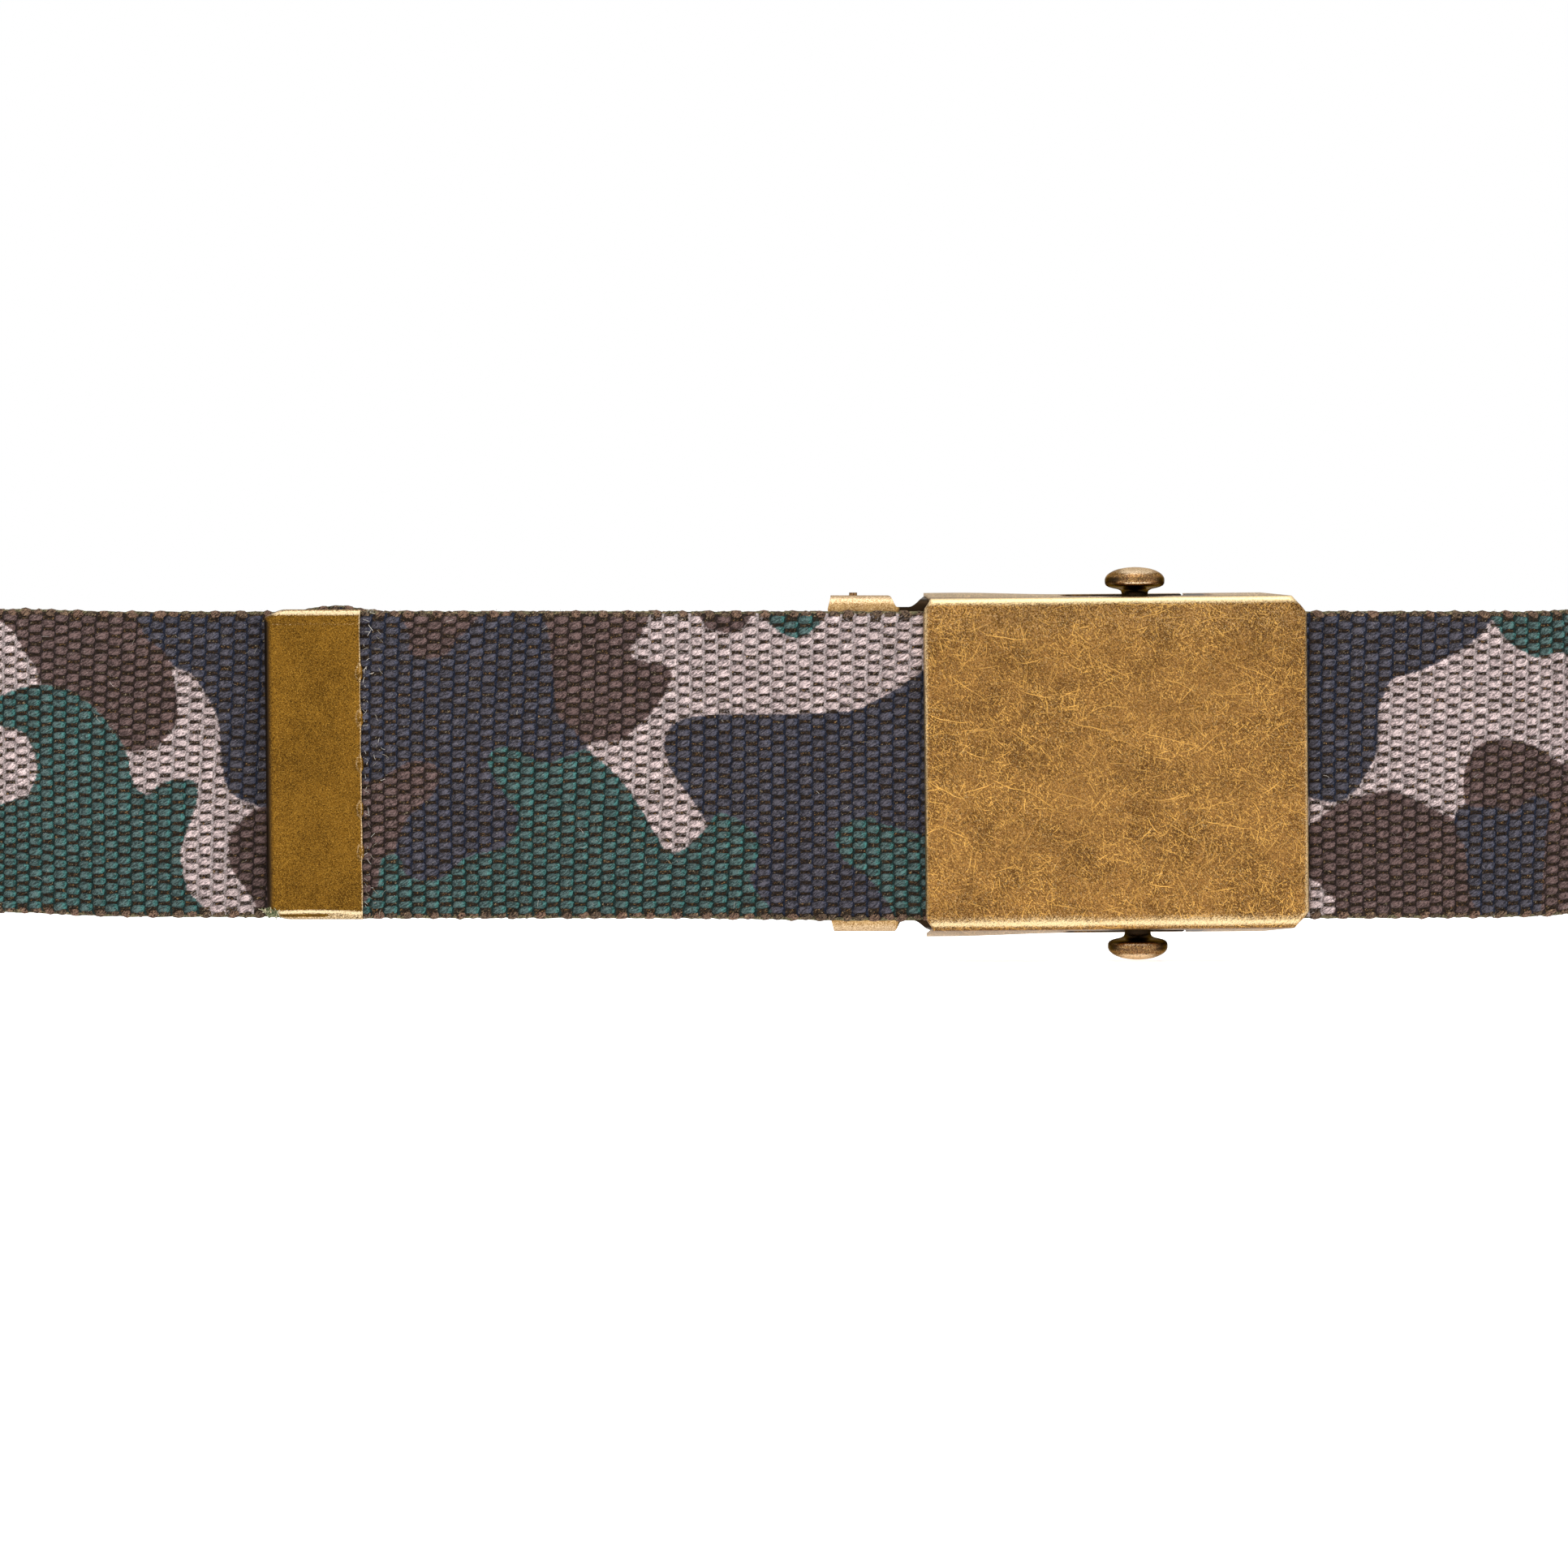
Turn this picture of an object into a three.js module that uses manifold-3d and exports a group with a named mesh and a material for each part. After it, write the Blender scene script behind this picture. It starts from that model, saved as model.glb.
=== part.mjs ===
// A fastened web belt: cotton webbing, a stamped box buckle with a locking bar, and a folded strap tip.
// It stands on its lower edge as a closed loop. Millimetres, +Z up, the buckle's face towards -Y.
// The origin is on the floor, under the middle of the whole belt.
import * as THREE from 'three';
import { mergeVertices } from 'three/addons/utils/BufferGeometryUtils.js';
import Module from 'manifold-3d';

const wasm = await Module();
wasm.setup();

// Clear space between neighbouring pieces
const GAP = 0.3;

// Webbing
const GIRTH = 900;
const STRAP_WIDTH = 37.7;
const STRAP_THICK = 2.2;
const STRAP_EDGE = 0.5;
const TURN_STEPS = 30;

// Sheet metal and the buckle's outline
const SHEET = 0.45;
const BEND = 1.2;
const FACE_WIDTH = 47.2;
const FACE_HEIGHT = 40.2;
const FACE_DEPTH = 9.6;
const FLANGE_FLARE = 0.85;
const FLANGE_SLANT = 5.0;
const HEM_DEPTH = 1.2;
const RIGHT_CHAMFER = 1.9;
const LEFT_CHAMFER = { across: 1.0, down: 1.3 };

// Locking bar, turned in one piece with its knobs. Rows run from its middle to the top of the knob.
const BAR_X = 2.77;
const BAR_RADIUS = 1.65;
const BAR_HALF = 24.15;
const BAR_SIDES = 20;
const KNOB_RADIUS = 3.7;
const KNOB_UNDERSIDE = 21.9;
const BAR_PROFILE = [
  { radius: BAR_RADIUS, z: 0 },
  { radius: BAR_RADIUS, z: 21.0 },
  { radius: 1.85, z: 21.35 },
  { radius: 2.5, z: 21.65 },
  { radius: 3.35, z: KNOB_UNDERSIDE },
  { radius: KNOB_RADIUS, z: 22.25 },
  { radius: KNOB_RADIUS, z: 22.75 },
  { radius: 3.35, z: 23.3 },
  { radius: 2.6, z: 23.75 },
  { radius: 1.4, z: 24.07 },
  { radius: 0, z: BAR_HALF },
];

// Slot that the bar slides in. Its back rail is split at its right end, where the bar was put in.
const SLOT = { left: -6.5, right: 9.0, slant: 1.1 };
const RAIL_SPLIT = { left: 8.6, right: 9.0 };

// Clamp frame: the ears that show beside the face plate, and the channel that runs under it
const FRAME_BACK = 9.6;
const EAR = { left: -35.5, right: -26.2, half: 20.55, spread: 0.1, bend: 1.6 };
const NESTED = { left: -26.2, right: -12.5, half: 19.5, spread: 0.6, bend: 1.0 };
const NOTCH = { left: -28.1, lowLeft: -26.7, lowRight: -25.6, right: -23.7, floor: 18.7, top: 20.65 };
const PIVOT = { x: -32.3, depth: 8.4, radius: 0.5, boss: 0.9, reach: 20.9 };

// Clamp lever: a plate behind the fixed end, with a toothed lip and a nub in each ear
const LEVER = { left: -34.2, right: -20.4, half: 18.8, thick: 0.9, front: 7.9, lip: 0.9 };
const TOOTH = { pitch: 2.35, tall: 0.5 };

// How far each layer lies behind the front of the face plate
const FREE_FRONT = HEM_DEPTH + GAP;
const FREE_MIDDLE = FREE_FRONT + STRAP_THICK / 2;
const FLOOR_FRONT = FREE_FRONT + STRAP_THICK + GAP;
const HELD_MIDDLE = FLOOR_FRONT + SHEET + GAP + STRAP_THICK / 2;
const BAR_DEPTH = FLOOR_FRONT + BAR_RADIUS;

// Strap tip, closed over a strap end that is pressed thinner and narrower
const TIP = { left: -63.6, length: 11.5, height: 38.6, chamfer: 1.9, round: 0.45 };
const PRESSED_THICK = 1.5;
const PRESSED_WIDTH = TIP.height - 2 * (SHEET + GAP);
const TIP_FRONT = FREE_MIDDLE - PRESSED_THICK / 2 - GAP - SHEET;
const TIP_BACK = FREE_MIDDLE + PRESSED_THICK / 2 + GAP + SHEET;

// Plan of the loop: a straight front, a quarter turn at each side and a half turn behind
const FRONT_HALF = 66;
const SIDE_RADIUS = ((GIRTH - 2 * FRONT_HALF) / Math.PI - FRONT_HALF) / 2;
const BACK_RADIUS = SIDE_RADIUS + FRONT_HALF;
const LOOP_DEPTH = FREE_MIDDLE + SIDE_RADIUS + BACK_RADIUS + STRAP_THICK / 2;
const UNDER_TIP = TIP_BACK + GAP + STRAP_THICK / 2;
const LAYER_STEP = UNDER_TIP - FREE_MIDDLE;
const UNDER_FREE = FREE_FRONT + STRAP_THICK + GAP + STRAP_THICK / 2;

// Where the buckle's middle is. The lower knob stands on the floor and lifts the front of the strap.
const BUCKLE_X = 40.9;
const FACE_LEAN = 0.5 * Math.PI / 180;
const BUCKLE_Z = BAR_HALF;
const FRONT_LIFT = BUCKLE_Z - STRAP_WIDTH / 2;

// Sections of the free end, from its cut end to the right turn. x is in the belt's frame.
const FREE_RUN = [
  { x: TIP.left + SHEET + GAP, thick: PRESSED_THICK, width: PRESSED_WIDTH },
  { x: TIP.left + TIP.length + GAP, thick: PRESSED_THICK, width: PRESSED_WIDTH },
  { x: TIP.left + TIP.length + 2.5, thick: STRAP_THICK, width: STRAP_WIDTH },
  { x: 0, thick: STRAP_THICK, width: STRAP_WIDTH },
];

// Sections of the fixed end, which runs behind the free end and into the clamp. middle is a depth.
const FIXED_END_X = BUCKLE_X - 14.5;
const FIXED_RUN = [
  { x: -50, middle: UNDER_TIP },
  { x: -44, middle: UNDER_FREE },
  { x: -8, middle: UNDER_FREE },
  { x: 3, middle: HELD_MIDDLE },
  { x: FIXED_END_X, middle: HELD_MIDDLE },
];

// Height of the strap's lower edge over the floor, by its depth behind the face plate
const EDGE_RISE = 0.35;
const EDGE_TABLE = [
  { depth: 6.2, height: FRONT_LIFT },
  { depth: 9.5, height: FRONT_LIFT + EDGE_RISE },
  { depth: FREE_MIDDLE + SIDE_RADIUS, height: 0 },
];

const brass = new THREE.MeshStandardMaterial({ color: '#8f6a2c', roughness: 0.42, metalness: 1 });
const darkBrass = new THREE.MeshStandardMaterial({ color: '#6e5433', roughness: 0.48, metalness: 1 });
const cotton = new THREE.MeshStandardMaterial({ color: '#3d3a3c', roughness: 0.95, metalness: 0 });

// Solids and their booleans

function toSolid(geometry) {
  const bare = geometry.clone();
  bare.deleteAttribute('normal');
  bare.deleteAttribute('uv');
  const merged = mergeVertices(bare, 1e-5);
  const vertProperties = new Float32Array(merged.attributes.position.array);
  const triVerts = new Uint32Array(merged.index.array);
  return new wasm.Manifold(new wasm.Mesh({ numProp: 3, vertProperties, triVerts }));
}

function toGeometry(solid) {
  const { vertProperties, triVerts } = solid.getMesh();
  const geometry = new THREE.BufferGeometry();
  geometry.setAttribute('position', new THREE.BufferAttribute(new Float32Array(vertProperties), 3));
  geometry.setIndex(new THREE.BufferAttribute(new Uint32Array(triVerts), 1));
  return geometry;
}

function box(low, high) {
  const size = high.map((value, axis) => value - low[axis]);
  const geometry = new THREE.BoxGeometry(...size);
  geometry.translate(...low.map((value, axis) => value + size[axis] / 2));
  return toSolid(geometry);
}

function outline(points) {
  return new THREE.Shape(points.map(([a, b]) => new THREE.Vector2(a, b)));
}

// A prism whose outline is in x and z, and which runs back along +y from start for length
function prismAlongY(shape, start, length, round = 0, roundSteps = 4) {
  const geometry = new THREE.ExtrudeGeometry(shape, {
    depth: length - 2 * round,
    bevelEnabled: round > 0,
    bevelSize: round,
    bevelThickness: round,
    bevelOffset: -round,
    bevelSegments: roundSteps,
    curveSegments: 8,
  });
  geometry.rotateX(Math.PI / 2);
  geometry.translate(0, start + length - round, 0);
  return toSolid(geometry);
}

// A prism whose outline is in y and z, and which runs along +x from start for length
function prismAlongX(shape, start, length) {
  const settings = { depth: length, bevelEnabled: false, curveSegments: 5 };
  const geometry = new THREE.ExtrudeGeometry(shape, settings);
  geometry.applyMatrix4(new THREE.Matrix4().set(0, 0, 1, 0, 1, 0, 0, 0, 0, 1, 0, 0, 0, 0, 0, 1));
  geometry.translate(start, 0, 0);
  return toSolid(geometry);
}

// A prism whose outline is in x and y, and which stands from low to high in z
function prismAlongZ(shape, low, high) {
  const settings = { depth: high - low, bevelEnabled: false, curveSegments: 10 };
  const geometry = new THREE.ExtrudeGeometry(shape, settings);
  geometry.translate(0, 0, low);
  return toSolid(geometry);
}

// A round rod along z
function rod(x, y, radius, low, high) {
  const geometry = new THREE.CylinderGeometry(radius, radius, high - low, 12);
  geometry.rotateX(Math.PI / 2);
  geometry.translate(x, y, (low + high) / 2);
  return toSolid(geometry);
}

function smooth(share) {
  const held = Math.min(1, Math.max(0, share));
  return held * held * (3 - 2 * held);
}

// Webbing strap

function edgeHeight(depth) {
  if (depth <= EDGE_TABLE[0].depth) return EDGE_TABLE[0].height;
  for (let row = 1; row < EDGE_TABLE.length; row += 1) {
    const [near, far] = [EDGE_TABLE[row - 1], EDGE_TABLE[row]];
    if (depth < far.depth) {
      const share = smooth((depth - near.depth) / (far.depth - near.depth));
      return near.height + share * (far.height - near.height);
    }
  }
  return EDGE_TABLE[EDGE_TABLE.length - 1].height;
}

// Sections along an arc, from one heading to another. Headings are anticlockwise from +x.
function arcSections(centreX, centreDepth, radius, from, to) {
  const steps = Math.round(TURN_STEPS * (to - from) / Math.PI);
  return Array.from({ length: steps + 1 }, (_, step) => {
    const heading = from + (to - from) * step / steps;
    return {
      x: centreX + radius * Math.sin(heading),
      middle: centreDepth - radius * Math.cos(heading),
      heading,
      thick: STRAP_THICK,
      width: STRAP_WIDTH,
    };
  });
}

function strapSections() {
  const quarter = Math.PI / 2;
  const turnDepth = FREE_MIDDLE + SIDE_RADIUS;
  const free = FREE_RUN.map((row) => ({ ...row, middle: FREE_MIDDLE, heading: 0 }));
  const right = arcSections(FRONT_HALF, turnDepth, SIDE_RADIUS, 0, quarter);
  const back = arcSections(0, turnDepth, BACK_RADIUS, quarter, 3 * quarter).slice(1);
  const left = arcSections(
    -FRONT_HALF - LAYER_STEP, turnDepth, SIDE_RADIUS - LAYER_STEP, 3 * quarter, 4 * quarter,
  ).slice(1);
  const fixed = FIXED_RUN.map((row) => ({ ...row, heading: 0, thick: STRAP_THICK, width: STRAP_WIDTH }));
  return [...free, ...right, ...back, ...left, ...fixed];
}

// The eight corners of one section: a flat strap with its edges eased
function sectionRing({ x, middle, heading, thick, width }) {
  const [half, ease] = [thick / 2, STRAP_EDGE];
  const low = edgeHeight(middle) + (STRAP_WIDTH - width) / 2;
  const high = low + width;
  const corners = [
    [half, low + ease], [half, high - ease], [half - ease, high], [ease - half, high],
    [-half, high - ease], [-half, low + ease], [ease - half, low], [half - ease, low],
  ];
  return corners.map(([out, z]) => [
    x + out * Math.sin(heading),
    middle - out * Math.cos(heading) - LOOP_DEPTH / 2,
    z,
  ]);
}

function loft(rings) {
  const size = rings[0].length;
  const index = [];
  for (let ring = 0; ring < rings.length - 1; ring += 1) {
    for (let corner = 0; corner < size; corner += 1) {
      const next = (corner + 1) % size;
      const [a, b] = [ring * size + corner, ring * size + next];
      index.push(a, a + size, b, b, a + size, b + size);
    }
  }
  const last = (rings.length - 1) * size;
  for (let corner = 1; corner < size - 1; corner += 1) {
    index.push(0, corner, corner + 1, last, last + corner + 1, last + corner);
  }
  const geometry = new THREE.BufferGeometry();
  geometry.setAttribute('position', new THREE.Float32BufferAttribute(rings.flat(2), 3));
  geometry.setIndex(index);
  return geometry;
}

function strapMesh() {
  return named('webbing_strap', loft(strapSections().map(sectionRing)), cotton);
}

// Buckle pieces. They are drawn round x 0 and z 0, with y as the depth behind the face plate.

// A rectangle in x and z with its left and right corners cut
function plateOutline(halfWidth, halfHeight, left, right) {
  return outline([
    [-halfWidth, -halfHeight + left.down], [-halfWidth + left.across, -halfHeight],
    [halfWidth - right.across, -halfHeight], [halfWidth, -halfHeight + right.down],
    [halfWidth, halfHeight - right.down], [halfWidth - right.across, halfHeight],
    [-halfWidth + left.across, halfHeight], [-halfWidth, halfHeight - left.down],
  ]);
}

// The slot that the bar slides in, slanting towards the face plate at its right end
function barSlot() {
  const half = BAR_RADIUS + GAP;
  const [left, right] = [SLOT.left + half, SLOT.right - half];
  const slope = SLOT.slant / (SLOT.right - SLOT.left);
  const leftDepth = BAR_DEPTH + slope * (BAR_X - left);
  const rightDepth = BAR_DEPTH - slope * (right - BAR_X);
  const slot = new THREE.Shape();
  slot.absarc(left, leftDepth, half, Math.PI / 2, 3 * Math.PI / 2);
  slot.absarc(right, rightDepth, half, -Math.PI / 2, Math.PI / 2);
  return slot;
}

// The flanges lean outwards: every corner behind the bend moves out with its depth
function flare(geometry) {
  const place = geometry.attributes.position;
  const inside = FACE_HEIGHT / 2 - 2 * BEND;
  for (let corner = 0; corner < place.count; corner += 1) {
    const share = Math.max(0, place.getY(corner) - BEND) / (FACE_DEPTH - BEND);
    const z = place.getZ(corner);
    if (Math.abs(z) > inside) place.setZ(corner, z + Math.sign(z) * FLANGE_FLARE * share);
  }
  return geometry;
}

function faceMesh() {
  const [halfWidth, halfHeight] = [FACE_WIDTH / 2, FACE_HEIGHT / 2];
  const none = { across: BEND, down: BEND };
  const right = { across: RIGHT_CHAMFER, down: RIGHT_CHAMFER };
  const hollow = plateOutline(halfWidth - SHEET, halfHeight - SHEET, none, right);
  const behind = FACE_DEPTH + 2 * BEND;
  const outer = prismAlongY(plateOutline(halfWidth, halfHeight, LEFT_CHAMFER, right), 0, behind, BEND);
  const inner = prismAlongY(hollow, SHEET, behind, BEND - SHEET);
  const open = halfHeight - SHEET;
  const openSide = (low, high) => box([low, HEM_DEPTH, -open], [high, behind, open]);
  const flangeEnd = outline([
    [halfWidth + 1, BEND], [halfWidth - RIGHT_CHAMFER, BEND],
    [halfWidth - FLANGE_SLANT, FACE_DEPTH], [halfWidth + 1, FACE_DEPTH],
  ]);
  const past = halfHeight + 1;
  const solid = outer
    .subtract(inner)
    .subtract(box([-halfWidth - 1, FACE_DEPTH, -past], [halfWidth + 1, behind + 1, past]))
    .subtract(openSide(-halfWidth - 1, -halfWidth + 2 * BEND))
    .subtract(openSide(halfWidth - 2 * BEND, halfWidth + 1))
    .subtract(prismAlongZ(flangeEnd, -past, past))
    .subtract(prismAlongZ(barSlot(), -past, past))
    .subtract(box([RAIL_SPLIT.left, BAR_DEPTH, -past], [RAIL_SPLIT.right, FACE_DEPTH + 1, past]));
  return named('buckle_face', flare(toGeometry(solid)), brass);
}

// A channel section in y and z: a floor at the front, and on each side a flange that goes back and spreads
function channel({ half, spread, bend }) {
  const shape = new THREE.Shape();
  const [turn, inner] = [FLOOR_FRONT + bend, bend - SHEET];
  const rim = half + spread;
  shape.moveTo(FRAME_BACK, -rim);
  shape.lineTo(FRAME_BACK, SHEET - rim);
  shape.absarc(turn, bend - half, inner, 3 * Math.PI / 2, Math.PI, true);
  shape.absarc(turn, half - bend, inner, Math.PI, Math.PI / 2, true);
  shape.lineTo(FRAME_BACK, rim - SHEET);
  shape.lineTo(FRAME_BACK, rim);
  shape.absarc(turn, half - bend, bend, Math.PI / 2, Math.PI);
  shape.absarc(turn, bend - half, bend, Math.PI, 3 * Math.PI / 2);
  return shape;
}

function notchPrism(side) {
  const past = EAR.half + 1;
  const corners = [
    [NOTCH.left, past], [NOTCH.left, NOTCH.top], [NOTCH.lowLeft, NOTCH.floor],
    [NOTCH.lowRight, NOTCH.floor], [NOTCH.right, NOTCH.top], [NOTCH.right, past],
  ];
  return prismAlongY(outline(corners.map(([x, z]) => [x, side * z])), FLOOR_FRONT - 1, FACE_DEPTH);
}

function frameMesh() {
  const past = EAR.half + 1;
  const solid = prismAlongX(channel(EAR), EAR.left, EAR.right - EAR.left)
    .add(prismAlongX(channel(NESTED), NESTED.left, NESTED.right - NESTED.left))
    .subtract(notchPrism(1))
    .subtract(notchPrism(-1))
    .subtract(rod(PIVOT.x, PIVOT.depth, PIVOT.radius + GAP, -past, past));
  return named('clamp_frame', toGeometry(solid), brass);
}

function leverTeeth() {
  const base = LEVER.front;
  const tip = HELD_MIDDLE + STRAP_THICK / 2 + GAP;
  const count = Math.round(2 * LEVER.half / TOOTH.pitch);
  const pitch = 2 * LEVER.half / count;
  const points = [[base + LEVER.thick, -LEVER.half], [base + LEVER.thick, LEVER.half]];
  for (let tooth = count; tooth > 0; tooth -= 1) {
    const high = -LEVER.half + tooth * pitch;
    points.push([tip + TOOTH.tall, high], [tip, high - pitch / 2]);
  }
  points.push([tip + TOOTH.tall, -LEVER.half]);
  return prismAlongX(outline(points.reverse()), LEVER.right - LEVER.lip, LEVER.lip);
}

function leverMesh() {
  const back = LEVER.front + LEVER.thick;
  const bossEnd = EAR.half - SHEET - GAP;
  const plate = box([LEVER.left, LEVER.front, -LEVER.half], [LEVER.right, back, LEVER.half]);
  const solid = plate
    .add(leverTeeth())
    .add(rod(PIVOT.x, PIVOT.depth, PIVOT.boss, -bossEnd, bossEnd))
    .add(rod(PIVOT.x, PIVOT.depth, PIVOT.radius, -PIVOT.reach, PIVOT.reach));
  return named('clamp_lever', toGeometry(solid), darkBrass);
}

function barMesh() {
  const upper = BAR_PROFILE.slice(1).map(({ radius, z }) => new THREE.Vector2(radius, z));
  const lower = upper.map((point) => new THREE.Vector2(point.x, -point.y)).reverse();
  const geometry = new THREE.LatheGeometry([...lower, ...upper], BAR_SIDES);
  geometry.rotateX(Math.PI / 2);
  geometry.translate(BAR_X, BAR_DEPTH, 0);
  return named('locking_bar', toGeometry(toSolid(geometry)), darkBrass);
}

// Strap tip, in the belt's own x. It opens to the right, and its left corners are cut and left open.
function tipMesh() {
  const [left, right] = [TIP.left, TIP.left + TIP.length];
  const half = TIP.height / 2;
  const shell = outline([
    [left, -half + TIP.chamfer / 2], [left + TIP.chamfer, -half], [right, -half],
    [right, half], [left + TIP.chamfer, half], [left, half - TIP.chamfer / 2],
  ]);
  const solid = prismAlongY(shell, TIP_FRONT, TIP_BACK - TIP_FRONT, TIP.round, 2)
    .subtract(box(
      [left + SHEET, TIP_FRONT + SHEET, -half + SHEET],
      [right + 1, TIP_BACK - SHEET, half - SHEET],
    ))
    .subtract(box([right - TIP.round, TIP_FRONT + SHEET, -half - 1], [right + 1, TIP_BACK - SHEET, half + 1]));
  return named('strap_tip', toGeometry(solid), brass);
}

function named(name, geometry, material) {
  const mesh = new THREE.Mesh(geometry, material);
  mesh.name = name;
  return mesh;
}

// The belt

const tip = tipMesh();
tip.position.set(0, -LOOP_DEPTH / 2, BUCKLE_Z);

// The face plate and its bar lean a little on the strap
const front = new THREE.Group();
front.add(faceMesh(), barMesh());
front.rotation.y = -FACE_LEAN;

const buckle = new THREE.Group();
buckle.add(front, frameMesh(), leverMesh());
buckle.position.set(BUCKLE_X, -LOOP_DEPTH / 2, BUCKLE_Z);

const belt = new THREE.Group();
belt.add(strapMesh(), tip, buckle);

export default belt;
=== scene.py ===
"""A fastened web belt: printed cotton webbing, a stamped box buckle and a folded strap tip.

The belt stands on its lower edge as a closed loop, with the buckle's face towards -Y.
Sizes inside the classes are millimetres. Meshes are stored in metres.
"""

from __future__ import annotations

import logging
import math
from contextlib import contextmanager
from dataclasses import dataclass, field
from enum import Enum
from functools import partial
from math import cos, pi, radians, sin
from typing import Any, Callable, Iterator, Sequence

import bmesh
import bpy
import numpy as np
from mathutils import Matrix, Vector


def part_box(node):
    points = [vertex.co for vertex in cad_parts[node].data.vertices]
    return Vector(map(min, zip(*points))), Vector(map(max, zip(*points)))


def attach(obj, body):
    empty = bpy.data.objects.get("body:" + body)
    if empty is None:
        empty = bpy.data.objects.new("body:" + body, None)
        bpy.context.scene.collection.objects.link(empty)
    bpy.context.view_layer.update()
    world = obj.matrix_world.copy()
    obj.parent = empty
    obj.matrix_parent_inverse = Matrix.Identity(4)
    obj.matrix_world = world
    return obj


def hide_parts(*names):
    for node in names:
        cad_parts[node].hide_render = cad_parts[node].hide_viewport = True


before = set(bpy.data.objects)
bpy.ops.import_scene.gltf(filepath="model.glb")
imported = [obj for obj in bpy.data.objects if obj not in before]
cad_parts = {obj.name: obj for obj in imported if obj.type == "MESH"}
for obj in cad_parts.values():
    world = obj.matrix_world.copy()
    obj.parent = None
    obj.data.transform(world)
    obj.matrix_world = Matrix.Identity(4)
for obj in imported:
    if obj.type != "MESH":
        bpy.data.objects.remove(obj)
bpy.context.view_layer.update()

log = logging.getLogger("web_belt")

MM = 0.001
SEED = 27

Point2 = tuple[float, float]
Point3 = tuple[float, float, float]
Faces = list[tuple[int, ...]]
Array = np.ndarray
Rule = Callable[[Array], Array]
Piece = bpy.types.Object
Material = bpy.types.Material
Tree = bpy.types.NodeTree
Socket = bpy.types.NodeSocket

# The setting that the word after a node's kind stands for
MAIN_SETTING = {
    "Attribute": "attribute_name", "MapRange": "interpolation_type", "Math": "operation", "Mix": "data_type",
    "TexVoronoi": "voronoi_dimensions", "VectorMath": "operation", "VectorRotate": "rotation_type",
    "FunctionNodeRandomValue": "data_type",
}

# Eases a value between two bounds, given after it, and on to 0 and 1 or to two more numbers
EASE = "MapRange.SMOOTHSTEP"


class Slot(Enum):
    """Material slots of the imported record."""

    WEBBING = "webbing"
    PLATE = "plate_brass"
    TIP = "tip_brass"
    BAR = "bar_brass"
    CLAMP = "clamp_brass"


class Side(Enum):
    """The two faces of the strap: the one away from the wearer, and the one next to them."""

    OUTER = 1.0
    INNER = -1.0


class Colour(Enum):
    """Inks of the print over the undyed ground, in the order they are laid down."""

    NAVY = "print_navy"
    BROWN = "print_brown"
    GREEN = "print_green"


# Small helpers


def linear(hex_colour: str) -> tuple[float, float, float, float]:
    """Turns an sRGB hex colour to linear RGBA.

    Args:
        hex_colour: The colour as '#rrggbb'.

    Returns:
        Linear red, green, blue and an alpha of 1.
    """
    parts = [int(hex_colour[start:start + 2], 16) / 255 for start in (1, 3, 5)]
    flat = [c / 12.92 if c <= 0.04045 else ((c + 0.055) / 1.055) ** 2.4 for c in parts]
    return flat[0], flat[1], flat[2], 1.0


def smooth(share: Array | float) -> Array:
    """Eases a share from 0 to 1."""
    held = np.clip(share, 0.0, 1.0)
    return held * held * (3 - 2 * held)


def band(value: Array, middle: Array | float, half: float, flat: float = 1.0) -> Array:
    """Eases a share down from a middle line to 0, at half the band's width times the flat share."""
    return smooth(flat - np.abs(value - middle) / half)


def box_mm(node: str) -> tuple[Array, Array]:
    """The lowest and highest corner of a CAD node, in millimetres."""
    low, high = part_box(node)
    return np.array(low) / MM, np.array(high) / MM


def add_node(tree: Tree, kind: str, *values: Any, out: str = "", **named: Any) -> Socket:
    """Adds one node with its settings and links.

    Args:
        tree: The node tree to add to.
        kind: The node's type, and after a dot the value of its main setting, as in 'Math.SINE'.
        values: For its inputs in use, in order, a socket to link from, a constant or a hex colour.
        out: Name of the wanted output; without it, the first in use.
        named: More inputs, with a capital and _ for each space, and more settings, in small letters.

    Returns:
        The wanted output.
    """
    kind, _, choice = kind.partition(".")
    node = tree.nodes.new(kind if "Node" in kind else "ShaderNode" + kind)
    settings = {name: value for name, value in named.items() if name[0].islower()}
    if choice:
        settings[MAIN_SETTING[kind]] = choice
    for name, value in settings.items():
        setattr(node, name, value)
    links = [(node.inputs[name.replace("_", " ")], value)
             for name, value in named.items() if name not in settings]
    links += zip([socket for socket in node.inputs if socket.enabled], values)
    for target, value in links:
        if isinstance(value, Socket):
            tree.links.new(value, target)
        elif target.type == "RGBA" and isinstance(value, str):
            target.default_value = linear(value)
        else:
            target.default_value = value
    return node.outputs[out] if out else next(socket for socket in node.outputs if socket.enabled)


def mesh_object(name: str, mesh: bpy.types.Mesh) -> Piece:
    """Links a mesh to the scene as an object at the origin."""
    piece = bpy.data.objects.new(name, mesh)
    bpy.context.scene.collection.objects.link(piece)
    return piece


def mesh_from(name: str, points: Array, faces: Sequence[Sequence[int]], scale: float = MM) -> Piece:
    """Makes an object from points in millimetres and faces.

    Args:
        name: The object's name.
        points: One row of x, y, z for each vertex.
        faces: Vertex numbers of each face, anticlockwise from outside.
        scale: Metres for each unit of the points.

    Returns:
        The new object, smooth shaded.
    """
    mesh = bpy.data.meshes.new(name)
    mesh.from_pydata((np.asarray(points, float) * scale).tolist(), [], [tuple(f) for f in faces])
    mesh.shade_smooth()
    mesh.update()
    return mesh_object(name, mesh)


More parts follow.
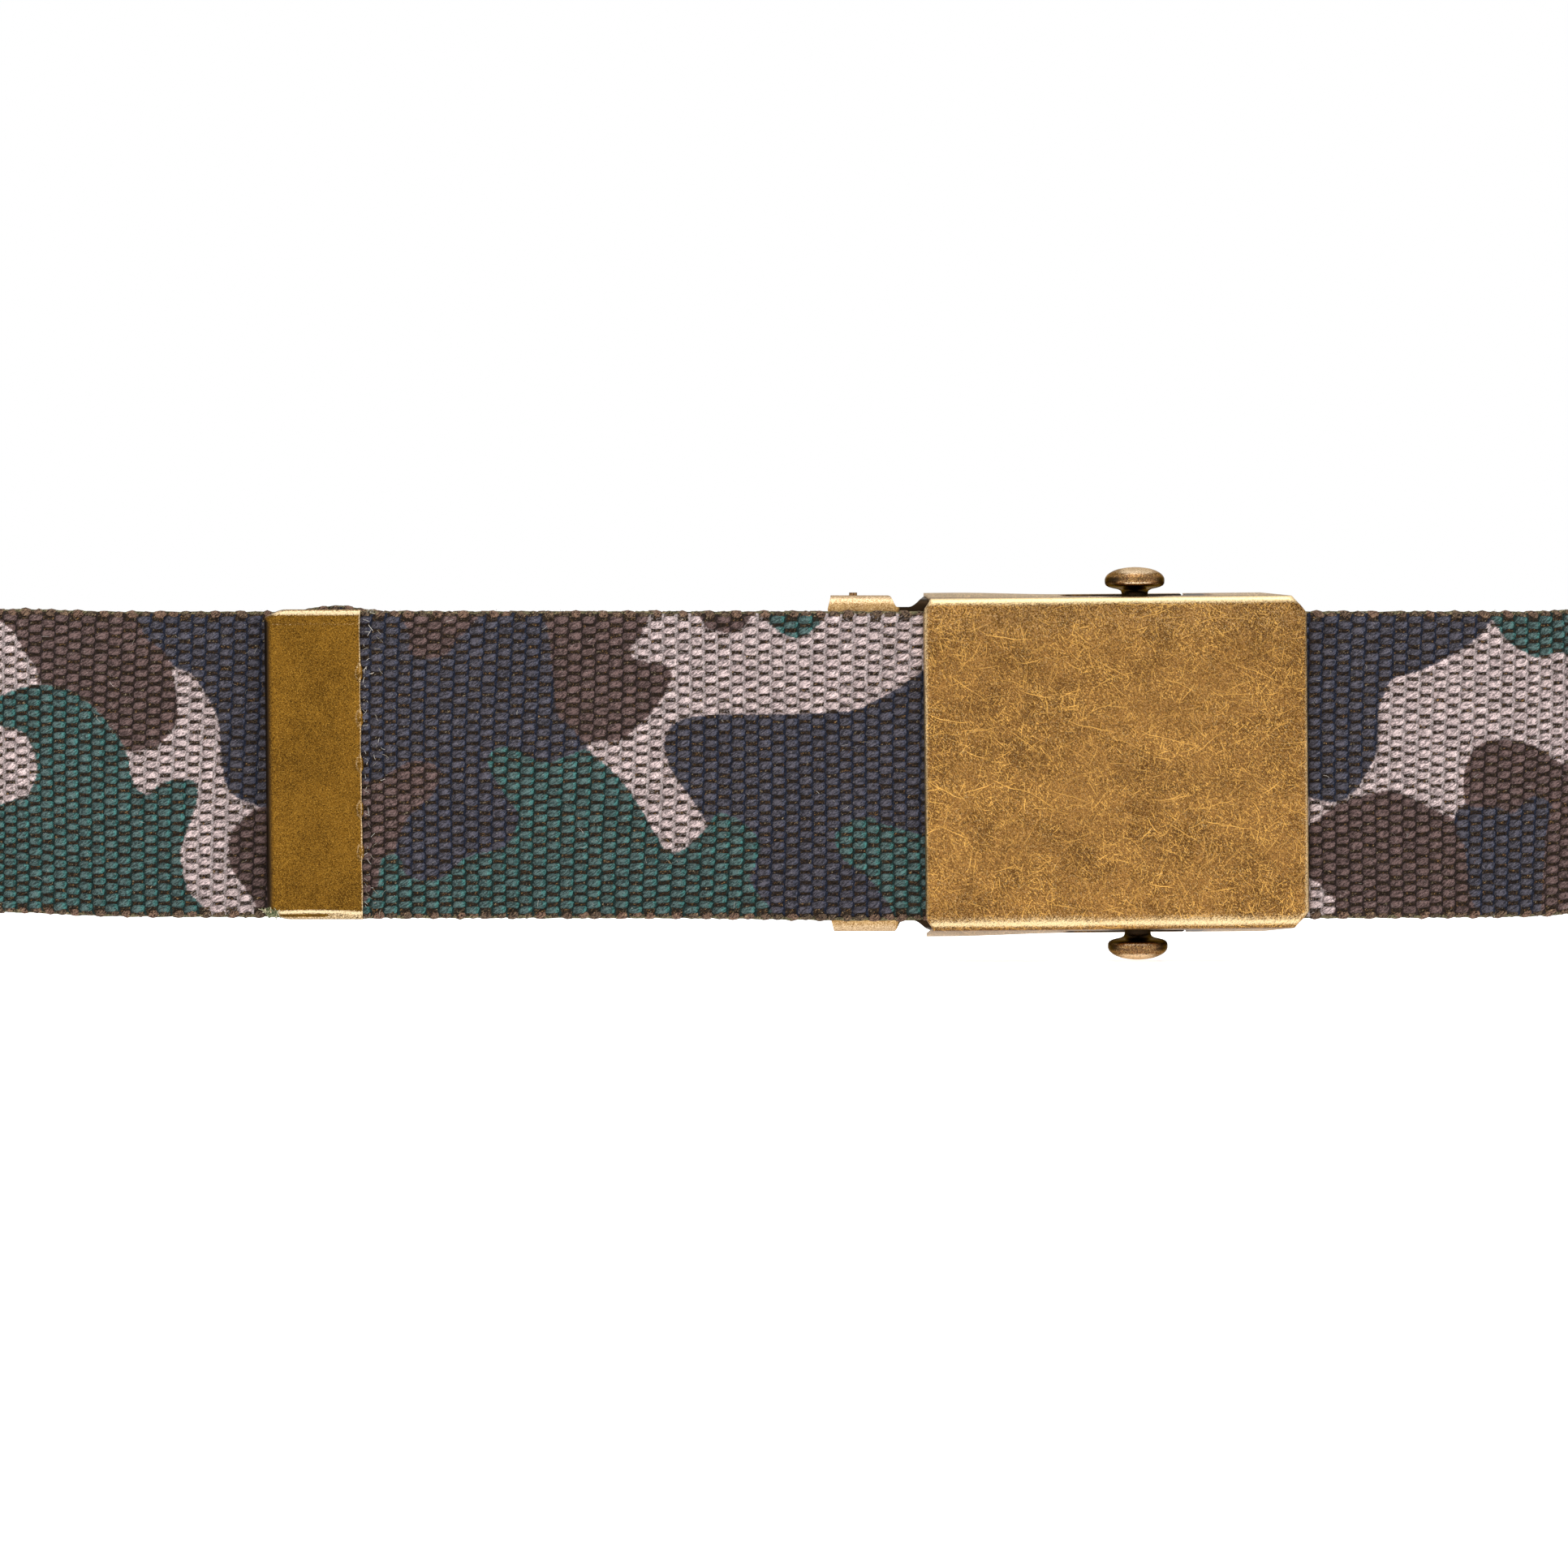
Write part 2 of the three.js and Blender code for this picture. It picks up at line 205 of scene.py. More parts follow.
def set_attribute(piece: Piece, name: str, values: Array) -> None:
    """Stores one number or one vector for each vertex."""
    kind = "FLOAT" if values.ndim == 1 else "FLOAT_VECTOR"
    attribute = piece.data.attributes.new(name, kind, "POINT")
    key = "value" if values.ndim == 1 else "vector"
    attribute.data.foreach_set(key, values.astype(np.float32).ravel())


def get_vectors(piece: Piece, name: str) -> Array:
    """Reads a vector attribute, one row for each vertex."""
    data = piece.data.attributes[name].data
    values = np.zeros(len(data) * 3, np.float32)
    data.foreach_get("vector", values)
    return values.reshape(-1, 3)


def baked(piece: Piece) -> Piece:
    """Turns a piece with live modifiers into a plain mesh.

    Args:
        piece: The object whose evaluated shape is kept.

    Returns:
        The same object, without modifiers.
    """
    bpy.context.view_layer.update()
    graph = bpy.context.evaluated_depsgraph_get()
    mesh = bpy.data.meshes.new_from_object(piece.evaluated_get(graph), depsgraph=graph)
    piece.modifiers.clear()
    piece.data = mesh
    return piece


@contextmanager
def edited(piece: Piece) -> Iterator[bmesh.types.BMesh]:
    """Opens a piece's mesh for edits, and stores it again after them."""
    shape = bmesh.new()
    shape.from_mesh(piece.data)
    yield shape
    shape.to_mesh(piece.data)
    shape.free()


def outwards(piece: Piece, merge: float = 1e-6) -> Piece:
    """Merges doubled vertices and turns all faces of closed shells outwards."""
    with edited(piece) as shape:
        bmesh.ops.remove_doubles(shape, verts=shape.verts, dist=merge)
        bmesh.ops.recalc_face_normals(shape, faces=shape.faces)
    return piece


def tube_faces(rings: int, sides: int) -> Faces:
    """Faces of a closed tube.

    Args:
        rings: How many rings of vertices it has, one after the other.
        sides: Vertices of each ring.

    Returns:
        The first end, the quads between the rings, and last the other end.
    """
    quads = [
        (ring * sides + a, ring * sides + (a + 1) % sides,
         (ring + 1) * sides + (a + 1) % sides, (ring + 1) * sides + a)
        for ring in range(rings - 1) for a in range(sides)
    ]
    last = (rings - 1) * sides
    return [tuple(range(sides))[::-1], *quads, tuple(last + a for a in range(sides))]


def tube(path: Array, radii: Array, sides: int) -> tuple[Array, Faces]:
    """A closed tube along a path.

    Args:
        path: Its centre points.
        radii: Its radius at each point.
        sides: Corners of its section.

    Returns:
        Points and faces.
    """
    ahead = np.gradient(path, axis=0)
    ahead /= np.linalg.norm(ahead, axis=1)[:, None]
    guide = np.array((0.12, 0.3, 1.0)) if abs(ahead[0][0]) > 0.9 else np.array((1.0, 0.1, 0.05))
    first = np.cross(ahead, guide)
    first /= np.linalg.norm(first, axis=1)[:, None]
    second = np.cross(ahead, first)
    angles = (np.arange(sides) * 2 * pi / sides)[:, None]
    spokes = first[:, None] * np.cos(angles) + second[:, None] * np.sin(angles)
    points = path[:, None] + radii[:, None, None] * spokes
    return points.reshape(-1, 3), tube_faces(len(path), sides)


def joined(
    name: str, shapes: Sequence[tuple[Array, Faces]], values: dict[str, Sequence[float]], scale: float,
) -> Piece:
    """Joins closed shapes into one piece.

    Args:
        name: The piece's name.
        shapes: Points and faces of each shape.
        values: Attributes by name, with one number for each shape.
        scale: Metres for each unit of the points.

    Returns:
        The piece, with its faces turned outwards.
    """
    faces, total = [], 0
    for points, corners in shapes:
        faces += [tuple(v + total for v in face) for face in corners]
        total += len(points)
    piece = outwards(mesh_from(name, np.concatenate([points for points, _ in shapes]), faces, scale), 1e-7)
    for key, numbers in values.items():
        set_attribute(piece, key, np.repeat(np.array(numbers, float), [len(points) for points, _ in shapes]))
    return piece


def hand_over(piece: Piece, slot: Slot, *nodes: str) -> None:
    """Fastens a finished piece to the belt's body, hides the CAD nodes it replaces and logs its triangles.

    Args:
        piece: The finished object.
        slot: Not used.
        nodes: CAD nodes that it replaces.
    """
    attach(piece, "root")
    if nodes:
        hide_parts(*nodes)
    triangles = sum(len(face.vertices) - 2 for face in piece.data.polygons)
    log.info("%s: %d triangles", piece.name, triangles)


# Route of the strap


@dataclass
class StrapRoute:
    """The strap's plan and the height of its lower edge, measured along it from the free end.

    The front is straight, the sides are quarter turns, the back is a half turn, and the
    fixed end comes back behind the free end into the clamp.
    """

    thick: float = 2.2
    width: float = 37.7
    step: float = 0.85
    layer_step: float = 2.9
    side_lift: float = 0.35
    clear: float = 0.36
    lift: float = 0.65
    free_inset: float = 0.75
    rise_depth: Point2 = (6.2, 9.5)
    peek_x: float = -55.5
    peek_half: float = 6.5
    peek_rise: float = 0.75
    fixed_run: tuple[Point2, ...] = (
        (-50.0, 5.5), (-44.0, 5.1), (-8.0, 5.1), (3.0, 5.85), (26.4, 5.85),
    )
    points: Array = field(init=False)
    outward: Array = field(init=False)
    length: float = field(init=False)

    def __post_init__(self) -> None:
        """Works the plan out from the webbing's box in the frame."""
        low, high = box_mm("webbing_strap")
        tip_low, _ = box_mm("strap_tip")
        self.front_y = float(low[1])
        self.face_y = float(box_mm("buckle_face")[0][1])
        self.front_lift = float(tip_low[2]) + self.lift
        self.back_radius = float(high[0]) - self.thick / 2
        depth = float(high[1] - low[1])
        self.side_radius = depth - self.thick - self.back_radius
        self.front_half = self.back_radius - self.side_radius
        self.free_x = float(tip_low[0]) + self.free_inset
        self.middle_y = self.front_y + self.thick / 2
        self._sample(self._plan())

    def _arc(self, x: float, radius: float, start: float, end: float) -> list[Point2]:
        """Points of a turn round (x, middle of the side turns), from heading start to end."""
        steps = int(abs(end - start) * radius / self.step)
        headings = np.linspace(start, end, steps + 1)
        centre = self.middle_y + self.side_radius
        return [(x + radius * sin(a), centre - radius * cos(a)) for a in headings]

    def _plan(self) -> list[Point2]:
        """The strap's centre line in plan, from its free end to its fixed end."""
        quarter = pi / 2
        inner = self.side_radius - self.layer_step
        fixed = [(x, self.face_y + depth) for x, depth in self.fixed_run]
        return [
            (self.free_x, self.middle_y),
            *self._arc(self.front_half, self.side_radius, 0, quarter),
            *self._arc(0, self.back_radius, quarter, 3 * quarter)[1:],
            *self._arc(-self.front_half - self.layer_step, inner, 3 * quarter, 4 * quarter)[1:],
            *fixed,
        ]

    def _sample(self, plan: list[Point2]) -> None:
        """Places even steps along the plan, with outward directions and lower-edge heights."""
        corners = np.array(plan)
        reach = np.concatenate([[0], np.cumsum(np.linalg.norm(np.diff(corners, axis=0), axis=1))])
        self.length = float(reach[-1])
        count = int(round(self.length / self.step))
        self.step = self.length / count
        along = np.arange(count + 1) * self.step
        spot = np.stack([np.interp(along, reach, corners[:, i]) for i in (0, 1)], axis=1)
        heading = np.gradient(spot, axis=0)
        heading /= np.linalg.norm(heading, axis=1)[:, None]
        self.points = np.column_stack([spot, self.edge_height(along, spot)])
        self.outward = np.column_stack([heading[:, 1], -heading[:, 0], np.zeros(count + 1)])

    def edge_height(self, along: Array, spot: Array) -> Array:
        """The lower edge's height over the floor.

        Args:
            along: Distances from the free end.
            spot: The plan's points there.

        Returns:
            One height for each point. The bar's lower knob holds the front of the strap up.
        """
        depth = spot[:, 1] - self.face_y
        first, near = self.rise_depth
        turn = self.middle_y + self.side_radius - self.face_y
        rise = self.front_lift + self.side_lift * smooth((depth - first) / (near - first))
        height = self.clear + (rise - self.clear) * (1 - smooth((depth - near) / (turn - near)))
        behind = along > 0.5 * self.length
        peek = np.clip(1 - np.abs(spot[:, 0] - self.peek_x) / self.peek_half, 0, 1)
        return height + np.where(behind & (depth < near), self.peek_rise * smooth(peek), 0)

    def along_at(self, x: float) -> float:
        """Distance from the free end of a point of the straight front."""
        return x - self.free_x

    def guide(self) -> Piece:
        """The route as a line of points for the node trees, in metres."""
        edges = [(i, i + 1) for i in range(len(self.points) - 1)]
        mesh = bpy.data.meshes.new("strap_route")
        mesh.from_pydata((self.points * MM).tolist(), edges, [])
        line = mesh_object("strap_route", mesh)
        set_attribute(line, "outward", self.outward)
        line.hide_render = True
        return line


# Printed pattern


@dataclass(frozen=True)
class Blob:
    """One printed patch: its ink and its outline, as (distance along, height) points."""

    ink: Colour
    outline: tuple[Point2, ...]


# Patches of the straight front, placed by x: free end on the left, right-hand turn on the right
FRONT_BLOBS = (
    Blob(Colour.NAVY, ((-57, -2), (-57, 40), (-25, 40), (-24.5, 22), (-23.9, 20.6), (-24.5, 17), (-30, 8),
        (-44, -2))),
    Blob(Colour.BROWN, ((-48.4, 40), (-47.2, 37.2), (-46.2, 34.5), (-46.2, 32.6), (-44, 31.9),
        (-41.5, 32.6), (-40.5, 34.5), (-39.6, 35.2), (-38.2, 37), (-38, 40))),
    Blob(Colour.BROWN, ((-56, 15), (-50, 17), (-46.5, 19), (-44.5, 19.3), (-42.7, 18.8), (-42.1, 17.5),
        (-43.3, 15), (-45.8, 12.8), (-46.9, 11.2), (-48, 8), (-48.5, 4), (-48, -2), (-56, -2))),
    Blob(Colour.GREEN, ((-50.1, -2), (-50, 4), (-49.7, 7), (-48.2, 7.9), (-47.2, 7), (-46.8, 5.5),
        (-45, 4.7), (-42.5, 4.7), (-40.2, 6.4), (-38.5, 7.6), (-34, 8.7), (-32.6, 11.2), (-32.3, 12.7),
        (-34, 15.1), (-36.1, 18.5), (-36, 20.2), (-35, 20.9), (-33.5, 21), (-30.5, 19.5), (-29, 19.1),
        (-26, 20.2), (-24.5, 20.8), (-23.3, 19.8), (-20.6, 17.5), (-18.6, 15), (-16.6, 11.8), (-14.8, 8.8),
        (-14, 8.1), (-13, 8.1), (-11.4, 9.2), (-9.5, 11.4), (-8.3, 12.9), (-6.4, 12.4), (-4.4, 11),
        (-3.3, 9.6), (-3.1, 8), (-4.2, 4.6), (-4.3, -2))),
    Blob(Colour.BROWN, ((-30, 40), (-29.5, 35), (-28.8, 29.5), (-28.1, 25), (-26.3, 23.5), (-24.8, 21.6),
        (-22.8, 21.8), (-20.2, 21.9), (-18.3, 23.8), (-16.3, 25.8), (-14.4, 28.9), (-14.3, 30.2),
        (-15.2, 31.2), (-18.2, 31.7), (-19.3, 32.4), (-19.2, 33.6), (-18, 35), (-17.2, 40))),
    Blob(Colour.BROWN, ((-10.8, 40), (-10.3, 36.5), (-9.2, 35.6), (-7.5, 35.1), (-5.8, 35.3), (-4.6, 36.2),
        (-3.8, 40))),
    Blob(Colour.GREEN, ((-2.8, 40), (-2.2, 36.9), (-0.4, 35.1), (0.9, 34.6), (2.4, 34.6), (4.1, 35.9),
        (4.7, 37.2), (5.1, 40))),
    Blob(Colour.NAVY, ((29, 34), (23, 33.4), (17.9, 31), (14.5, 28.6), (10.5, 26.3), (8.7, 25.6),
        (6, 25.3), (0, 25.1), (-10, 25), (-13.9, 24), (-15.1, 21.5), (-14.3, 18.6), (-12.9, 16.4),
        (-11.3, 14.2), (-9.7, 11.7), (-9, 9), (-8, 4), (-8, -2), (27, -2), (31, 8), (34, 17), (33, 27))),
    Blob(Colour.GREEN, ((6.2, 9.8), (7.2, 11.2), (8.4, 12), (10.8, 12.4), (12, 11.6), (14.6, 11),
        (17.9, 10.2), (24, 11.5), (31, 10), (35.5, 5), (34, -2), (14.2, -2), (13.6, 0.5), (11.6, 3.6),
        (9.8, 5.5), (7.3, 7.2))),
    Blob(Colour.GREEN, ((21, 40), (22, 35.5), (26, 32.8), (31, 33.6), (34, 31.8), (38.5, 33.5),
        (40.5, 40))),
    Blob(Colour.BROWN, ((33, 23), (37.5, 26.5), (43, 25.8), (46.5, 22.5), (45.5, 17.5), (49, 13), (47, 8),
        (41.5, 6.5), (38, 9.5), (37.5, 14.5), (33.5, 18))),
    Blob(Colour.NAVY, ((54, 40), (52.5, 33), (55.5, 28.5), (54, 22.5), (58, 17), (62, 15.6), (65, 14.8),
        (67.8, 14.2), (70.2, 15.3), (72, 17.8), (73.3, 20.5), (73.4, 23), (73.5, 26), (74.4, 28.6),
        (75.3, 29.6), (78.6, 30.6), (81.3, 32), (84.3, 33.8), (86.6, 36.3), (87.3, 40))),
    Blob(Colour.GREEN, ((86.9, 40), (87, 36.9), (89.3, 34), (92, 32.4), (93.6, 32), (96.6, 32.5),
        (101, 31), (105.5, 33), (107.5, 40))),
    Blob(Colour.NAVY, ((83, -2), (82.8, 10.5), (84.6, 14.2), (88.6, 14.4), (92.8, 15.4), (97, 13),
        (97, -2))),
    Blob(Colour.BROWN, ((85.1, -2), (68, -2), (68.1, 1.7), (66.7, 3.3), (65, 4.8), (61.5, 5.5), (60.5, 9),
        (65, 11.5), (67.4, 13.4), (70, 14.7), (73.3, 15.4), (75.3, 15.7), (78.4, 14.4), (81, 13.1),
        (83.4, 11.9), (83.3, 10.5), (84.5, 8.5), (85.2, 3))),
    Blob(Colour.BROWN, ((84.5, 19.2), (86.3, 21.6), (90.1, 21.9), (93.4, 20.9), (96.6, 18.8),
        (101.5, 17.5), (104, 12), (101, 6), (102.5, -2), (95.3, -2), (94.9, 5), (95, 10), (95.6, 13.5),
        (94.6, 14.5), (92.8, 14.8), (90.5, 12.8), (88.6, 13.6), (86.5, 13.6), (84.6, 13.9), (84.1, 16.5))),
)

# Patches of the layer behind the strap tip, placed by x as well
BEHIND_BLOBS = (
    Blob(Colour.GREEN, ((-101, 12), (-96.6, 13.9), (-94.6, 14.3), (-93.1, 17), (-93.2, 19.6),
        (-94.9, 22.4), (-98, 23.2), (-101.5, 25), (-96.6, 27.5), (-92.7, 28.4), (-90.5, 28.2), (-88, 27.6),
        (-85, 25.4), (-83, 23), (-81.3, 20.6), (-80.6, 17.5), (-79.8, 15.9), (-78.5, 15), (-77.2, 16.2),
        (-75.4, 17), (-72.9, 16.8), (-72.3, 15.5), (-72.9, 12.3), (-74.1, 9), (-74.2, 7), (-73.3, 3.2),
        (-71.3, 1), (-71, -2), (-103, -2), (-105, 5))),
    Blob(Colour.BROWN, ((-103, 40), (-101, 37.5), (-96.6, 35.3), (-94.3, 31.8), (-93, 30.4), (-92.7, 28.2),
        (-90.5, 28), (-88, 27.3), (-85, 24.9), (-83, 22.5), (-81.3, 20.5), (-79.3, 20.6), (-77.2, 21.3),
        (-75.2, 24), (-75.3, 27), (-76, 30.2), (-75.9, 31), (-77.5, 33.2), (-79.2, 34.2), (-80, 35.8),
        (-80.8, 36.5), (-81.5, 40))),
    Blob(Colour.NAVY, ((-82, 40), (-81.3, 36.5), (-80.4, 35), (-77.5, 32.6), (-75.9, 30.9), (-73.5, 29.9),
        (-71.8, 27.2), (-70.3, 24.4), (-69.6, 18.7), (-68.3, 15.3), (-65, 13.6), (-60, 11), (-54, 13),
        (-52, 24), (-53, 40))),
    Blob(Colour.BROWN, ((-64, 13.6), (-66.6, 12.1), (-68.2, 10.2), (-68.2, 6.5), (-67, 4.6), (-64.8, 1.2),
        (-64.5, -2), (-54, -2), (-51.5, 6), (-55, 12))),
)

# Patches of the sides and back, placed by distance from the free end
BACK_BLOBS = (
    Blob(Colour.NAVY, ((171, 27), (174, 33), (179, 34.5), (184, 32), (189, 33.5), (194, 30.5), (196, 25.5),
        (192.5, 21.5), (188, 19.5), (186.5, 14.5), (181, 12.5), (176.5, 15), (175, 20.5))),
    Blob(Colour.GREEN, ((180, -2), (182.5, 4.5), (187, 8), (192, 7.5), (196.5, 11), (202, 15.5),
        (208.5, 16), (213, 12.5), (212, 7.5), (216, 3.5), (217, -2))),
    Blob(Colour.BROWN, ((197, 40), (199.5, 34), (204, 31), (206, 25.5), (211, 22), (216.5, 23.5),
        (219, 28.5), (224.5, 30), (228, 34), (228.5, 40))),
    Blob(Colour.NAVY, ((222, -2), (223.5, 5), (227, 9), (226.5, 14), (230, 18.5), (236, 20), (241, 17),
        (243, 11), (247.5, 7.5), (248, -2))),
    Blob(Colour.GREEN, ((235, 40), (236.5, 34), (240, 29), (245, 26.5), (250.5, 28), (253.5, 33),
        (255, 40))),
    Blob(Colour.BROWN, ((249, 21), (253.5, 20), (256.5, 15.5), (255.5, 10), (251.5, 11.5), (247.5, 15))),
)


@dataclass
class CamoPrint:
    """A woodland print that repeats along the strap, kept as distances to each ink's edge."""

    route: StrapRoute
    repeat: float = 300.0
    cell: float = 0.5
    reach: float = 3.0
    behind_repeats: int = 2

    def __post_init__(self) -> None:
        """Draws every patch into one distance chart for each ink."""
        self.columns = int(self.repeat / self.cell)
        self.rows = int(self.route.width / self.cell) + 3
        self.charts = {ink: np.full((self.columns, self.rows), self.reach, np.float32) for ink in Colour}
        end_x = self.route.fixed_run[-1][0]
        behind = self.route.length - end_x - self.behind_repeats * self.repeat
        front = self.route.along_at(0)
        for blobs, shift in ((FRONT_BLOBS, front), (BEHIND_BLOBS, behind), (BACK_BLOBS, 0.0)):
            for blob in blobs:
                self._draw(blob, shift)

    @staticmethod
    def _curve(points: Array, cuts: int = 4) -> Array:
        """Rounds a closed outline through its points.

        Args:
            points: The outline's corners.
            cuts: Pieces that each side is cut into.

        Returns:
            Points of a closed Catmull-Rom curve.
        """
        before, after, beyond = (np.roll(points, shift, axis=0) for shift in (1, -1, -2))
        rows = []
        for t in np.arange(cuts) / cuts:
            rows.append(0.5 * (
                2 * points + (after - before) * t
                + (2 * before - 5 * points + 4 * after - beyond) * t ** 2
                + (3 * points - before - 3 * after + beyond) * t ** 3
            ))
        return np.stack(rows, axis=1).reshape(-1, 2)

    def _draw(self, blob: Blob, shift: float) -> None:
        """Lowers the ink's chart to this patch's signed distance, negative inside it."""
        outline = self._curve(np.array(blob.outline) + (shift, 0))
        first = int((outline[:, 0].min() - self.reach) / self.cell) - 1
        last = int((outline[:, 0].max() + self.reach) / self.cell) + 2
        columns, rows = np.arange(first, last), np.arange(self.rows)
        spot = np.stack(np.meshgrid(columns, rows, indexing="ij"), axis=-1) * self.cell
        near = np.full(spot.shape[:2], self.reach)
        inside = np.zeros(spot.shape[:2], bool)
        for a, b in zip(outline, np.roll(outline, -1, axis=0)):
            side = b - a
            share = np.clip(((spot - a) @ side) / max(float(side @ side), 1e-9), 0, 1)
            near = np.minimum(near, np.linalg.norm(spot - a - share[..., None] * side, axis=-1))
            crosses = (a[1] > spot[..., 1]) != (b[1] > spot[..., 1])
            rise = side[1] if abs(side[1]) > 1e-9 else 1e-9
            inside ^= crosses & (spot[..., 0] < a[0] + (spot[..., 1] - a[1]) / rise * side[0])
        chart = self.charts[blob.ink]
        held = columns % self.columns
        chart[held] = np.minimum(chart[held], np.where(inside, -near, near))

    def at(self, ink: Colour, along: Array, height: Array) -> Array:
        """Signed distance to an ink's edge.

        Args:
            ink: The ink asked for.
            along: Distances from the free end.
            height: Heights over the strap's lower edge.

        Returns:
            Millimetres, negative where the ink is.
        """
        x = (along / self.cell) % self.columns
        y = np.clip(height / self.cell, 0, self.rows - 1.001)
        column, row = np.floor(x).astype(int) % self.columns, np.floor(y).astype(int)
        right, part, up = (column + 1) % self.columns, x - np.floor(x), y - row
        chart = self.charts[ink]
        low = chart[column, row] * (1 - part) + chart[right, row] * part
        high = chart[column, row + 1] * (1 - part) + chart[right, row + 1] * part
        return low * (1 - up) + high * up

    def dye(self, piece: Piece) -> None:
        """Stores the distance to each ink's edge on a piece that has a 'flat' attribute."""
        flat = get_vectors(piece, "flat")
        for ink in Colour:
            set_attribute(piece, ink.value, self.at(ink, flat[:, 0], flat[:, 1]))


# Finishes


@dataclass
class Shade:
    """A material's node tree under construction, round one Principled shader."""

    name: str

    def __post_init__(self) -> None:
        """Makes the material and keeps its shader."""
        self.material = bpy.data.materials.new(self.name)
        self.material.use_nodes = True
        self.tree = self.material.node_tree
        self.shader = next(n for n in self.tree.nodes if n.type == "BSDF_PRINCIPLED")

    def add(self, kind: str, *values: Any, **named: Any) -> Socket:
        """Adds a node to this material."""
        return add_node(self.tree, kind, *values, **named)

    def grain(
        self, vector: Socket, size: float, detail: float = 3.0, rough: float = 0.6,
        stretch: Point3 = (1.0, 1.0, 1.0), turn: float = 0.0, warp: float = 0.0,
    ) -> Socket:
        """A noise whose grains have a real size.

        Args:
            vector: Coordinates.
            size: One grain's size, in the coordinates' unit.
            detail: Octaves of finer grain.
            rough: Strength of the finer grain.
            stretch: How much longer the grain is along each axis.
            turn: Degrees that the grain is turned about z.
            warp: Distortion of the grain.

        Returns:
            A value round 0.5.
        """
        turned = self.add("Mapping", vector, Rotation=(0.0, 0.0, radians(-turn)))
        sized = self.add("Mapping", turned, Scale=tuple(1 / (size * s) for s in stretch))
        return self.add("TexNoise", sized, 1.0, detail, rough, Distortion=warp)

    def lit(self, colour: Socket, light: Socket) -> Socket:
        """A colour made lighter or darker by a factor."""
        factor = self.add("CombineColor", light, light, light)
        return self.add("Mix.RGBA", 1.0, colour, factor, blend_type="MULTIPLY")

    def finish(
        self, colour: Socket, rough: Socket | float, height: Socket | None = None, depth: float = 0.0,
        strength: float = 1.0, **constants: float,
    ) -> Material:
        """Sets the shader's colour, roughness, relief and constants.

        Args:
            colour: Base colour.
            rough: Roughness.
            height: The relief's height, from 0 to 1, if it has one.
            depth: The relief's depth in millimetres.
            strength: The relief's strength.
            constants: Other shader inputs by name, with _ for each space.

        Returns:
            The finished material.
        """
        links = {"Base Color": colour}
        if height is not None:
            links["Normal"] = self.add("Bump", strength, depth * MM, Height=height)
        if isinstance(rough, Socket):
            links["Roughness"] = rough
        else:
            constants["Roughness"] = rough
        for name, socket in links.items():
            self.tree.links.new(socket, self.shader.inputs[name])
        for name, value in constants.items():
            self.shader.inputs[name.replace("_", " ")].default_value = value
        return self.material


@dataclass(frozen=True)
class Inks:
    """The print's colours on one part of the webbing: its light ground, and each ink over it."""

    ground: str
    navy: str
    brown: str
    green: str


